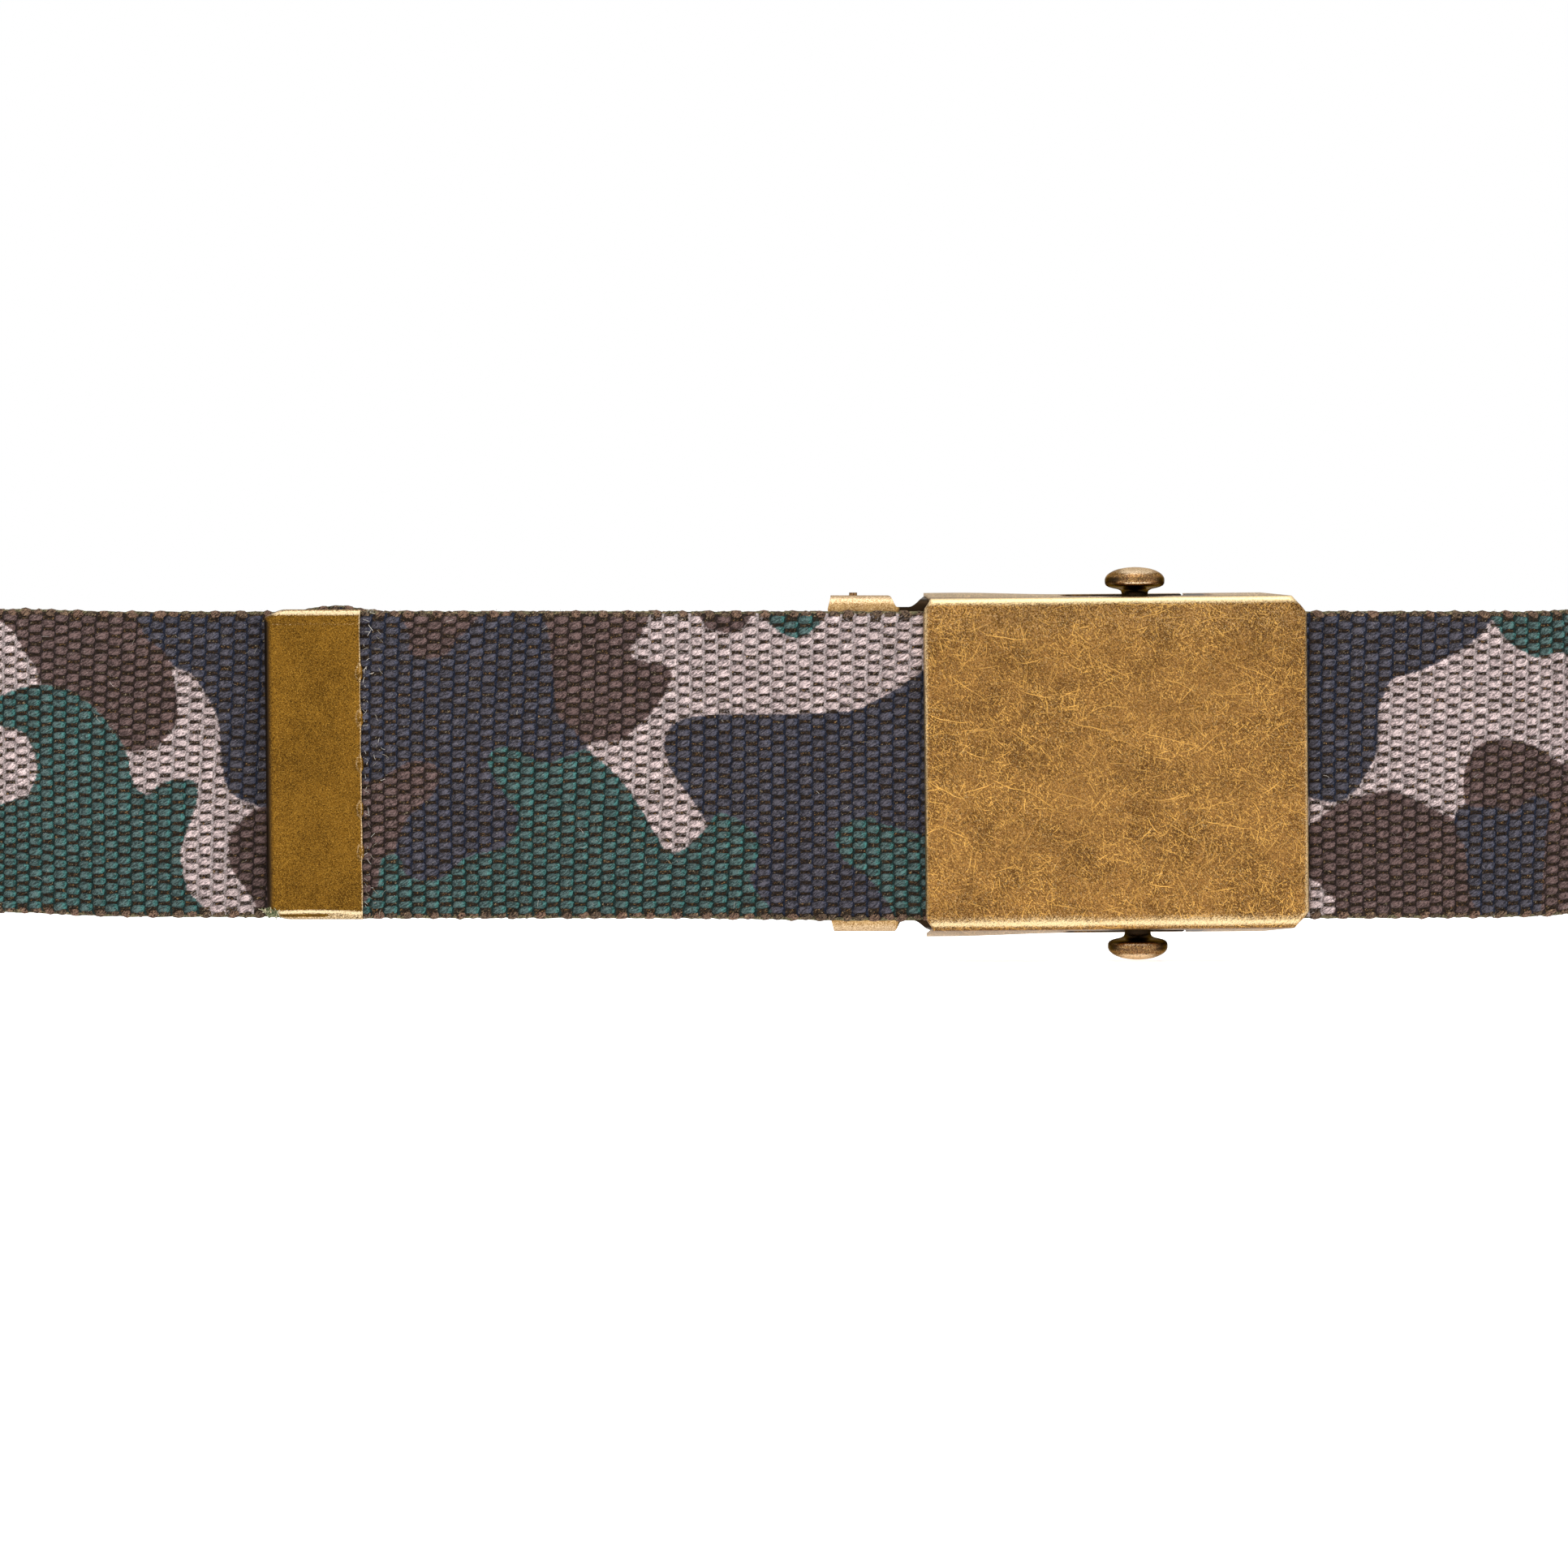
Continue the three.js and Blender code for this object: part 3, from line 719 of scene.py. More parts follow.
@dataclass(frozen=True)
class PrintedCotton:
    """Cotton webbing in plain weave, pigment printed on one face.

    The eye gets fuzzy ovals of ink on the raised warp, brown unprinted yarn in the gaps,
    slanting fibres, and single hairs that catch the light.
    """

    crown: Inks = Inks("#b3a09e", "#46434a", "#5c4a47", "#465856")
    # Painted highlight: a richer, mostly lighter print towards one end of each yarn
    highlit_end: Inks = Inks("#baa9a6", "#3a3e4d", "#5c4a47", "#356a66")
    inner_face: Inks = Inks("#665a48", "#4e463d", "#584a3a", "#525040")
    # Painted shade: darker print in the seams where the yarns dive between columns
    seam: Inks = Inks("#a39694", "#1f2330", "#2b2220", "#1b2b29")
    # Binding yarn: near black for painted shade in its depths, and its own dark brown
    gap: tuple[str, str] = ("#17110c", "#35291e")
    speck: tuple[str, str] = ("#a87e4e", "#a39479")
    edge_blur: float = 0.16
    edge_fuzz: float = 0.5
    twist: float = 32.0
    fibre: float = 0.19
    tuft: float = 0.15
    hair: float = 0.09
    rough: float = 0.95
    shine: float = 0.12

    def ink(self, shade: Shade, flat: Socket, inks: Inks) -> Socket:
        """The print's colour at a place.

        Args:
            shade: The material.
            flat: Place on the flat strap, in millimetres.
            inks: The print's colours on this part.

        Returns:
            A colour socket.
        """
        add = shade.add
        fuzz = add("Math.SUBTRACT", shade.grain(flat, 0.5, 4.0, 0.7), 0.5)
        spread = add("Math.MULTIPLY", fuzz, 2 * self.edge_fuzz)
        colour: Any = inks.ground
        for ink in Colour:
            edge = add("Math.ADD", add(f"Attribute.{ink.value}", out="Fac"), spread)
            mask = add(EASE, edge, self.edge_blur, -self.edge_blur)
            colour = add("Mix.RGBA", mask, colour, getattr(inks, ink.name.lower()))
        return colour

    def _printed(self, shade: Shade, flat: Socket) -> Socket:
        """The print on the raised yarns, with a painted highlight towards one end of each: a richer, mostly
        lighter ink.
        """
        add = shade.add
        colour = self.ink(shade, flat, self.crown)
        ragged = shade.grain(flat, 0.3, 2.0)
        past = add("Math.MULTIPLY_ADD", ragged, 1.4, add("Attribute.end", out="Fac"))
        # Painted highlight: the print turns to these inks towards the yarn's end that lies further along the
        # strap
        end_highlight = add(EASE, past, 0.8, 1.7, 0.0, 0.8)
        return add("Mix.RGBA", end_highlight, colour, self.ink(shade, flat, self.highlit_end))

    def yarns(self, printed: bool) -> Material:
        """The warp's raised yarns, printed or plain.

        Args:
            printed: Whether this is the face with the print.

        Returns:
            The material.
        """
        shade = Shade("printed_cotton_warp" if printed else "plain_cotton_warp")
        add = shade.add
        flat = add("Attribute.flat", out="Vector")
        colour = self._printed(shade, flat) if printed else self.ink(shade, flat, self.inner_face)
        # Single fibres and tufts are finer than this; they are drawn at 0.15 to 0.19 mm to show
        fibres = shade.grain(flat, self.fibre, 2.0, 0.65, (3.6, 1.0, 1.0), self.twist, 0.5)
        tufts = shade.grain(flat, self.tuft, 3.0, 0.75)
        streak = add(EASE, fibres, 0.38, 0.60, 0.42, 1.38)
        light = add("Math.MULTIPLY", streak, add(EASE, tufts, 0.33, 0.67, 0.66, 1.32))
        # Painted shade: each yarn darker over its half nearer the strap's free end
        end = add("Attribute.end", out="Fac")
        light = add("Math.MULTIPLY", light, add(EASE, end, -1.0, 0.0, 0.62, 1.0))
        tint = add("Math.MULTIPLY_ADD", add("Attribute.tint", out="Fac"), 0.24, 0.88)
        crest = add("Attribute.crest", out="Fac")
        # Painted shade and highlight: each yarn darker towards its upper and lower rims, a little lighter
        # along its crest
        rim = add(EASE, crest, 0.0, 0.8, 0.5, 1.08)
        light = add("Math.MULTIPLY", add("Math.MULTIPLY", light, tint), rim)
        colour = shade.lit(colour, light)
        hairs = shade.grain(flat, self.hair, 1.0, 0.5, (2.6, 1.0, 1.0), -36.0, 0.7)
        hairs = add("Math.MULTIPLY", add(EASE, hairs, 0.68, 0.76), 0.5)
        colour = add("Mix.RGBA", hairs, colour, "#b9b0a8")
        # Painted shade: near black in the hollows between tufts
        hollow_shade = add("Math.MULTIPLY", add(EASE, tufts, 0.42, 0.30), 0.6)
        colour = add("Mix.RGBA", hollow_shade, colour, "#1e1816")
        ragged = add("Math.MULTIPLY_ADD", add("Math.SUBTRACT", tufts, 0.5), 1.5, crest)
        cover = add(EASE, ragged, -0.02, 0.30)
        colour = add("Mix.RGBA", cover, self.binding(shade, flat), colour)
        height = add("Math.ADD", fibres, add("Math.MULTIPLY", tufts, 0.6))
        return shade.finish(colour, self.rough, height, 0.14, 0.9, Specular_IOR_Level=self.shine)

    def binding(self, shade: Shade, flat: Socket) -> Socket:
        """Brown binding yarn, with painted shade near black in its depths, and rust and straw fibres.

        Args:
            shade: The material.
            flat: Place on the flat strap, in millimetres.

        Returns:
            A colour socket.
        """
        add = shade.add
        fine = shade.grain(flat, 0.17, 3.0, 0.8, (1.8, 1.0, 1.0), self.twist, 0.6)
        # Painted shade: the dark brown falls to near black between the fibres
        yarn = add("Mix.RGBA", add(EASE, fine, 0.38, 0.6), *self.gap)
        kind = add(EASE, shade.grain(flat, 0.6, 1.0), 0.45, 0.55)
        speck = add("Mix.RGBA", kind, *self.speck)
        return add("Mix.RGBA", add(EASE, fine, 0.585, 0.67), yarn, speck)

    def core(self, column: float) -> Material:
        """The strap's body between the raised yarns.

        Args:
            column: Distance between two weft threads.

        Returns:
            The material: inked seams, darker for painted shade, at each weft thread, brown binding yarn
                between.
        """
        shade = Shade("cotton_binding_yarn")
        add = shade.add
        flat = add("Attribute.flat", out="Vector")
        # Painted shade: the seams take the darker seam inks
        printed = self.ink(shade, flat, self.seam)
        along = add("SeparateXYZ", flat)
        wander = add("Math.SUBTRACT", shade.grain(flat, 0.5), 0.5)
        along = add("Math.ADD", along, add("Math.MULTIPLY", wander, 0.5))
        cycle = add("Math.FRACT", add("Math.DIVIDE", along, column))
        off = add("Math.ABSOLUTE", add("Math.SUBTRACT", cycle, 0.5))
        seam = add(EASE, off, 0.34, 0.44)
        outer = add(EASE, add("Attribute.face", out="Fac"), 0.1, 0.6)
        fine = shade.grain(flat, 0.14, 3.0, 0.75, (2.2, 1.0, 1.0), self.twist, 0.4)
        ink = shade.lit(printed, add(EASE, fine, 0.33, 0.67, 0.35, 1.5))
        stray = add(EASE, fine, 0.52, 0.64, 0.0, 0.5)
        share = add("Math.MULTIPLY", add("Math.MAXIMUM", seam, stray), outer)
        colour = add("Mix.RGBA", share, self.binding(shade, flat), ink)
        return shade.finish(colour, self.rough, fine, 0.12, 0.9, Specular_IOR_Level=self.shine)

    def edging(self) -> Material:
        """Weft turns at the strap's edges: unprinted rust-brown yarn over an olive cord."""
        shade = Shade("cotton_weft_turns")
        add = shade.add
        flat = add("Attribute.flat", out="Vector")
        fibres = shade.grain(flat, 0.17, 3.0, 0.75, (3.0, 1.0, 1.0), 45.0, 0.5)
        tint = add(EASE, add("Attribute.tint", out="Fac"), 0.1, 0.9)
        body = add("Mix.RGBA", tint, "#574a3c", "#7b6051")
        cord = add("Math.MULTIPLY", add("Attribute.cord", out="Fac"), 0.8)
        body = add("Mix.RGBA", cord, body, "#716c50")
        colour = add("Mix.RGBA", add(EASE, fibres, 0.40, 0.54), "#1b140f", body)
        colour = add("Mix.RGBA", add(EASE, fibres, 0.57, 0.68), colour, "#a88d6c")
        return shade.finish(colour, self.rough, fibres, 0.16, 0.9, Specular_IOR_Level=self.shine)

    def loose(
        self, name: str, colours: Sequence[str], parts: Sequence[Point2], rough: float, shine: float,
    ) -> Material:
        """Loose cotton, each hair or thread in one of three colours.

        Args:
            name: The material's name.
            colours: The three colours.
            parts: Tints between which one colour gives way to the next.
            rough: Roughness.
            shine: Strength of the highlight.

        Returns:
            The material.
        """
        shade = Shade(name)
        add = shade.add
        tint = add("Attribute.tint", out="Fac")
        colour: Any = colours[0]
        for following, part in zip(colours[1:], parts):
            colour = add("Mix.RGBA", add(EASE, tint, *part), colour, following)
        return shade.finish(colour, rough, Specular_IOR_Level=shine)

    def lint(self) -> Material:
        """Loose hairs: rust, straw or off-white."""
        parts = ((0.35, 0.45), (0.7, 0.8))
        return self.loose("loose_cotton_hairs", ("#6b4a2a", "#8f8779", "#c9c3ba"), parts, 0.8, 0.3)

    def fray(self) -> Material:
        """Frayed warp threads: olive, sage or straw."""
        colours, parts = ("#5c6648", "#8c8f6c", "#c9bea0"), ((0.3, 0.4), (0.7, 0.75))
        return self.loose("frayed_cotton_threads", colours, parts, 0.9, self.shine)


# Node trees for what follows the strap


def new_tree(name: str, inputs: dict[str, str]) -> tuple[Tree, dict[str, Socket]]:
    """Starts a Geometry Nodes tree.

    Args:
        name: The tree's name.
        inputs: Socket type of each named input.

    Returns:
        The tree, and its inputs' sockets by name.
    """
    tree = bpy.data.node_groups.new(name, "GeometryNodeTree")
    for label, kind in inputs.items():
        tree.interface.new_socket(name=label, in_out="INPUT", socket_type="NodeSocket" + kind)
    tree.interface.new_socket(name="Geometry", in_out="OUTPUT", socket_type="NodeSocketGeometry")
    start = tree.nodes.new("NodeGroupInput")
    return tree, {label: start.outputs[label] for label in inputs}


def run_tree(piece: Piece, tree: Tree, values: dict[str, Any]) -> Piece:
    """Runs a tree on a piece and keeps the result as its plain mesh.

    Args:
        piece: The object that the tree runs on.
        tree: The Geometry Nodes tree.
        values: The tree's inputs by name.

    Returns:
        The same object.
    """
    modifier = piece.modifiers.new(tree.name, "NODES")
    modifier.node_group = tree
    for item in tree.interface.items_tree:
        if item.item_type == "SOCKET" and item.in_out == "INPUT" and item.name in values:
            modifier[item.identifier] = values[item.name]
    return baked(piece)


@dataclass
class RouteTrees:
    """Builds the trees that lay flat strap parts along the route.

    Flat parts have x along the strap, y up from its lower edge and z out of its face, in
    millimetres. The weft threads lean a little and wander, as in real webbing.
    """

    lean: float = 0.016
    wander: float = 0.28
    wander_length: float = 57.0
    wander_rise: float = 0.11
    crumple: Point3 = (0.40, 0.30, 0.20)
    crumple_scale: float = 2.3
    turn: float = 0.09
    smallest: Point3 = (0.95, 0.9, 0.82)
    largest: Point3 = (1.05, 1.08, 1.12)

    ROUTE_INPUTS = {
        "Geometry": "Geometry", "Route": "Object", "Step": "Float", "Width": "Float", "Material": "Material",
    }
    WEAVE_INPUTS = {
        **ROUTE_INPUTS, "Yarn": "Object", "First column": "Int", "Columns": "Int", "Rows": "Int",
        "Column pitch": "Float", "Row pitch": "Float", "First row": "Float", "Face": "Float",
        "Height": "Float", "Seed": "Int", "Scatter": "Float",
    }

    def _lay(self, tree: Tree, shape: Socket, inputs: dict[str, Socket]) -> None:
        """Ends a tree: stores each flat place, then bends the part along the route.

        Args:
            tree: The tree to end.
            shape: The flat geometry.
            inputs: The tree's input sockets.
        """
        add = partial(add_node, tree)
        vector = {"data_type": "FLOAT_VECTOR", "domain": "POINT"}
        place = add("GeometryNodeInputPosition")
        stored = add("GeometryNodeStoreNamedAttribute", shape, Name="flat", Value=place, **vector)
        flat = add("SeparateXYZ", place).node.outputs
        middle = add("Math.SUBTRACT", flat[1], add("Math.MULTIPLY", inputs["Width"], 0.5))
        up = add("Math.MULTIPLY", flat[1], self.wander_rise)
        phase = add("Math.MULTIPLY_ADD", flat[0], 2 * pi / self.wander_length, up)
        wander = add("Math.MULTIPLY", add("Math.SINE", phase), self.wander)
        drift = add("Math.MULTIPLY_ADD", middle, self.lean, wander)
        along = add("Math.DIVIDE", add("Math.ADD", flat[0], drift), inputs["Step"])
        below = add("Math.FLOOR", along)
        above = add("Math.ADD", below, 1.0)
        share = add("Math.SUBTRACT", along, below)
        line = add("GeometryNodeObjectInfo", Object=inputs["Route"], out="Geometry")
        outward = add("GeometryNodeInputNamedAttribute", "outward", data_type="FLOAT_VECTOR")
        found = []
        for value in (place, outward):
            ends = [add("GeometryNodeSampleIndex", line, clamp=True, Value=value, Index=index, **vector)
                    for index in (below, above)]
            found.append(add("Mix.VECTOR", share, *ends))
        rise = add("CombineXYZ", Z=add("Math.MULTIPLY", flat[1], MM))
        spread = add("VectorMath.SCALE", found[1], add("Math.MULTIPLY", flat[2], MM))
        target = add("VectorMath.ADD", add("VectorMath.ADD", found[0], rise), spread)
        moved = add("GeometryNodeSetPosition", stored, Position=target)
        whole = add("GeometryNodeRealizeInstances", moved)
        dressed = add("GeometryNodeSetMaterial", whole, Material=inputs["Material"])
        tree.links.new(dressed, tree.nodes.new("NodeGroupOutput").inputs[0])

    def lay(self) -> Tree:
        """A tree that bends a finished flat part along the route."""
        tree, inputs = new_tree("lay_along_strap", self.ROUTE_INPUTS)
        self._lay(tree, inputs["Geometry"], inputs)
        return tree

    def weave(self) -> Tree:
        """A tree that sets one yarn at each crossing of the weave, then bends them along the route.

        Returns:
            The tree. Crossings stand in columns, and every other column is half a pitch higher.
        """
        tree, inputs = new_tree("weave_yarns", self.WEAVE_INPUTS)
        add, rows, seed = partial(add_node, tree), inputs["Rows"], inputs["Seed"]
        count = add("Math.MULTIPLY", inputs["Columns"], rows)
        index = add("GeometryNodeInputIndex")
        column = add("Math.FLOOR", add("Math.DIVIDE", add("Math.ADD", index, 0.5), rows))
        row = add("Math.SUBTRACT", index, add("Math.MULTIPLY", column, rows))
        column = add("Math.ADD", column, inputs["First column"])
        odd = add("Math.MODULO", column, 2.0)
        x = add("Math.MULTIPLY", add("Math.ADD", column, 0.5), inputs["Column pitch"])
        lift = add("Math.MULTIPLY_ADD", odd, 0.5, row)
        y = add("Math.MULTIPLY_ADD", lift, inputs["Row pitch"], inputs["First row"])
        z = add("Math.MULTIPLY", inputs["Height"], inputs["Face"])
        scatter = add("CombineXYZ", inputs["Scatter"], add("Math.MULTIPLY", inputs["Scatter"], 0.6))
        less = add("VectorMath.SCALE", scatter, -1.0)
        jitter = add("FunctionNodeRandomValue.FLOAT_VECTOR", less, scatter, Seed=seed)
        spot = add("CombineXYZ", x, y, z)
        points = add("GeometryNodePoints", count, add("VectorMath.ADD", spot, jitter))
        # Every other column has one yarn less, because its last place is the weft's turn
        last = add("Math.COMPARE", row, add("Math.SUBTRACT", rows, 1.0), 0.5)
        spare = add("Math.MULTIPLY", last, odd)
        kept = add("GeometryNodeDeleteGeometry", points, Selection=spare, domain="POINT")
        yarn = add("GeometryNodeObjectInfo", Object=inputs["Yarn"], out="Geometry")
        turn = add("FunctionNodeRandomValue.FLOAT", -self.turn, self.turn, Seed=seed)
        flip = add("Math.MULTIPLY_ADD", inputs["Face"], -pi / 2, pi / 2)
        angle = add("CombineXYZ", X=flip, Z=turn)
        size = add("FunctionNodeRandomValue.FLOAT_VECTOR", self.smallest, self.largest, Seed=seed)
        placed = add("GeometryNodeInstanceOnPoints", kept, Instance=yarn, Rotation=angle, Scale=size)
        tint = add("FunctionNodeRandomValue.FLOAT", 0.0, 1.0, Seed=seed)
        tinted = add("GeometryNodeStoreNamedAttribute", placed, Name="tint", Value=tint, data_type="FLOAT",
                     domain="INSTANCE")
        whole = add("GeometryNodeRealizeInstances", tinted)
        self._lay(tree, self._crumpled(tree, whole), inputs)
        return tree

    def _crumpled(self, tree: Tree, shape: Socket) -> Socket:
        """Makes every yarn a little uneven, so that no two have the same outline."""
        add = partial(add_node, tree)
        place = add("GeometryNodeInputPosition")
        noise = add("TexNoise", place, self.crumple_scale, 1.0, out="Color")
        centred = add("VectorMath.SUBTRACT", noise, (0.5, 0.5, 0.5))
        offset = add("VectorMath.MULTIPLY", centred, self.crumple)
        return add("GeometryNodeSetPosition", shape, Offset=offset)


# Webbing


@dataclass(frozen=True)
class WeftTurn:
    """Half sizes of a weft thread's turn round the strap's edge, and how far it reaches out."""

    wide: float
    thick: float
    reach: float


@dataclass(frozen=True)
class Fineness:
    """Rings and sides that a weft turn is drawn with."""

    rings: int
    sides: int


@dataclass
class Webbing:
    """The strap: a woven body, raised warp yarns on both faces, weft turns at its edges, and lint."""

    route: StrapRoute
    camo: CamoPrint
    finish: PrintedCotton = PrintedCotton()
    column: float = 1.70
    row: float = 1.3244
    rows: int = 28
    first_row: float = 0.97
    half_core: float = 0.76
    cells: int = 24
    pressed_length: float = 10.2
    pressed_ease: float = 2.2
    pressed_half: float = 0.72
    pressed_inset: float = 0.3
    yarn_half: Point2 = (0.87, 0.52)
    yarn_power: float = 0.56
    yarn_rise: float = 0.32
    yarn_sink: float = 0.04
    slant: float = 0.22
    scatter: float = 0.05
    bold_turn: WeftTurn = WeftTurn(wide=0.80, thick=0.34, reach=0.56)
    small_turn: WeftTurn = WeftTurn(wide=0.76, thick=0.32, reach=0.50)
    turn_centre: float = 0.68
    near: Fineness = Fineness(rings=7, sides=8)
    far: Fineness = Fineness(rings=5, sides=6)
    cord_radius: float = 0.24
    cord_inset: float = 0.16
    cord_out: float = 0.3
    sag: float = 0.3
    sag_x: float = 10.0
    sag_length: float = 14.0
    hairs: int = 1900
    tip_hairs: int = 90
    front_run: float = 168.0
    behind_runs: Point2 = (140.0, 76.0)
    clamped_run: float = 25.0
    covered_columns: int = 14

    def __post_init__(self) -> None:
        """Makes the guide and the node trees that every part uses, and counts the columns."""
        self.guide = self.route.guide()
        trees = RouteTrees()
        self.lay_tree, self.weave_tree = trees.lay(), trees.weave()
        self.columns = int(self.route.length / self.column)
        self.first_visible = math.floor(self.pressed_length / self.column)
        self.front_end = int(self.front_run / self.column)
        self.behind, self.hidden = (int((self.route.length - run) / self.column) for run in self.behind_runs)
        self.clamped = int((self.route.length - self.clamped_run) / self.column)

    def _inputs(self, material: Material) -> dict[str, Any]:
        """The inputs that every tree has."""
        route = self.route
        return {"Route": self.guide, "Step": route.step, "Width": route.width, "Material": material}

    def _laid(self, piece: Piece, material: Material) -> Piece:
        """Bends a flat part along the route."""
        return run_tree(piece, self.lay_tree, self._inputs(material))

    def _section(self, half: float, inset: float) -> list[Point2]:
        """One section of the body, as (height, out): outer face, upper edge, inner face, lower edge."""
        low, high = inset + half, self.route.width - inset - half
        face = np.linspace(low, high, self.cells + 1)
        turn = np.radians(np.linspace(67.5, -67.5, 7))
        upper = [(high + half * cos(a), half * sin(a)) for a in turn]
        lower = [(low - half * cos(a), -half * sin(a)) for a in turn]
        return [(y, half) for y in face] + upper + [(y, -half) for y in face[::-1]] + lower

    def core(self) -> Piece:
        """The woven body, a closed band as long as the strap and pressed flat inside the tip."""
        spots = np.arange(0, self.columns + 1) * self.column
        spots[-1] = self.route.length - 0.2
        rings = []
        for x in spots:
            free = float(smooth((x - self.pressed_length) / self.pressed_ease))
            half = self.pressed_half + free * (self.half_core - self.pressed_half)
            rings.append([(x, y, z) for y, z in self._section(half, self.pressed_inset * (1 - free))])
        points = np.array(rings).reshape(-1, 3)
        piece = outwards(mesh_from("web_core", points, tube_faces(len(rings), len(rings[0])), 1.0))
        set_attribute(piece, "face", points[:, 2] / self.half_core)
        self._laid(piece, self.finish.core(self.column))
        self.camo.dye(piece)
        return piece

    def yarn(self, name: str, sides: int, rings: Sequence[Point2], peak: float | None) -> Piece:
        """One raised warp yarn, a slanting oval mound.

        Args:
            name: The mesh's name.
            sides: Corners of the oval.
            rings: Share of the oval's size and height of each ring, from the foot up.
            peak: Height of the top point, or nothing for a flat top.

        Returns:
            The yarn as an object in flat millimetres, with its rim-to-crest share stored.
        """
        half_x, half_y = self.yarn_half
        angles = (np.arange(sides) + 0.5) * 2 * pi / sides
        x = np.sign(np.cos(angles)) * np.abs(np.cos(angles)) ** self.yarn_power * half_x
        y = np.sign(np.sin(angles)) * np.abs(np.sin(angles)) ** self.yarn_power * half_y
        x = x + self.slant * y
        points, crest, end = [], [], []
        for share, height in rings:
            points += [(a * share, b * share, height) for a, b in zip(x, y)]
            crest += list(1 - (share * y / half_y) ** 2)
            end += list(share * x / half_x)
        faces = tube_faces(len(rings), sides)
        if peak is not None:
            top = len(points) - sides
            faces[-1:] = [(top + a, top + (a + 1) % sides, top + sides) for a in range(sides)]
            points.append((0.0, 0.0, peak))
            crest.append(1.0)
            end.append(0.0)
        piece = mesh_from(name, np.array(points), faces, 1.0)
        set_attribute(piece, "crest", np.array(crest))
        set_attribute(piece, "end", np.array(end))
        piece.hide_render = True
        return piece

    def yarns(
        self, name: str, yarn: Piece, side: Side, first: int, end: int, seed: int,
        material: Material,
    ) -> Piece:
        """Sets the raised yarns on one stretch of one face.

        Args:
            name: The piece's name.
            yarn: The yarn that is repeated.
            side: The face that they stand on.
            first: Number of the first column of yarns.
            end: Number of the column after the last.
            seed: Seed of the small differences between yarns.
            material: Their finish.

        Returns:
            The piece, dyed with the print.
        """
        piece = mesh_object(name, bpy.data.meshes.new(name))
        run_tree(piece, self.weave_tree, {
            **self._inputs(material), "Yarn": yarn, "First column": first, "Columns": end - first,
            "Rows": self.rows, "Column pitch": self.column, "Row pitch": self.row,
            "First row": self.first_row, "Face": side.value, "Height": self.half_core - self.yarn_sink,
            "Seed": seed, "Scatter": self.scatter,
        })
        self.camo.dye(piece)
        return piece

    def _turn(self, rng: np.random.Generator, turn: WeftTurn, drawn: Fineness) -> tuple[Array, Faces]:
        """One weft turn round an edge at y = 0, a soft oval wider along the strap.

        Args:
            rng: Source of its unevenness.
            turn: Its sizes.
            drawn: Its rings and sides.

        Returns:
            Points and faces.
        """
        lean = rng.uniform(0.1, 0.4)
        points = []
        for a in np.radians(np.linspace(88, -88, drawn.rings)):
            swell = 0.45 + 0.55 * cos(a)
            for b in np.arange(drawn.sides) * 2 * pi / drawn.sides:
                out = turn.reach + turn.thick * sin(b) * swell
                points.append((turn.wide * swell * cos(b) + lean * sin(a),
                               self.turn_centre - out * cos(a),
                               (self.half_core + out - turn.reach) * sin(a)))
        shape = np.array(points) * rng.uniform(0.9, 1.12) + rng.normal(0, 0.035, (len(points), 3))
        return shape, tube_faces(drawn.rings, drawn.sides)

    def _by_buckle(self, along: Array) -> Array:
        """How near places are to the buckle's left side, from 0 to 1; lower turns stand out more there."""
        return np.exp(-((along - self.route.along_at(self.sag_x)) / self.sag_length) ** 2)

    def _cord(self, edge: float, inward: float, sag: float) -> tuple[Array, Faces]:
        """The olive cord that runs under the turns of one edge.

        Args:
            edge: Height of the edge.
            inward: 1 where the strap is above the edge, -1 where it is below.
            sag: How far the cord hangs out beside the buckle.

        Returns:
            Points and faces.
        """
        along = np.arange(self.pressed_length, self.route.length - 1, self.column / 2)
        wave = 0.12 * np.sin(along * 2.1) + 0.07 * np.sin(along * 0.83)
        low = edge + inward * self.cord_inset - sag * self._by_buckle(along)
        path = np.column_stack([along, low, self.cord_out + wave])
        return tube(path, self.cord_radius + 0.05 * np.sin(along * 1.7), 6)

    def edging(self) -> Piece:
        """Weft turns round both edges: a bold one at every other column, a small one between, and a cord."""
        rng = np.random.default_rng(SEED)
        shapes, tints, cords = [], [], []
        for edge, inward, sag in ((0.0, 1.0, self.sag), (self.route.width, -1.0, 0.0)):
            for column in range(self.first_visible, self.columns - 1):
                bold = column % 2 == 1
                shown = column < self.front_end or self.behind <= column < self.hidden
                points, faces = self._turn(
                    rng, self.bold_turn if bold else self.small_turn, self.near if shown else self.far)
                points[:, 0] += (column + 0.5) * self.column + rng.normal(0, 0.08)
                points[:, 1] = edge + inward * points[:, 1] - sag * self._by_buckle(points[:, 0])
                shapes.append((points, faces))
                tints.append(rng.uniform(0.3, 1.0) if bold else rng.uniform(0.0, 0.7))
                cords.append(0.0)
            shapes.append(self._cord(edge, inward, sag))
            tints.append(0.3)
            cords.append(1.0)
        piece = joined("web_edging", shapes, {"tint": tints, "cord": cords}, 1.0)
        return self._laid(piece, self.finish.edging())

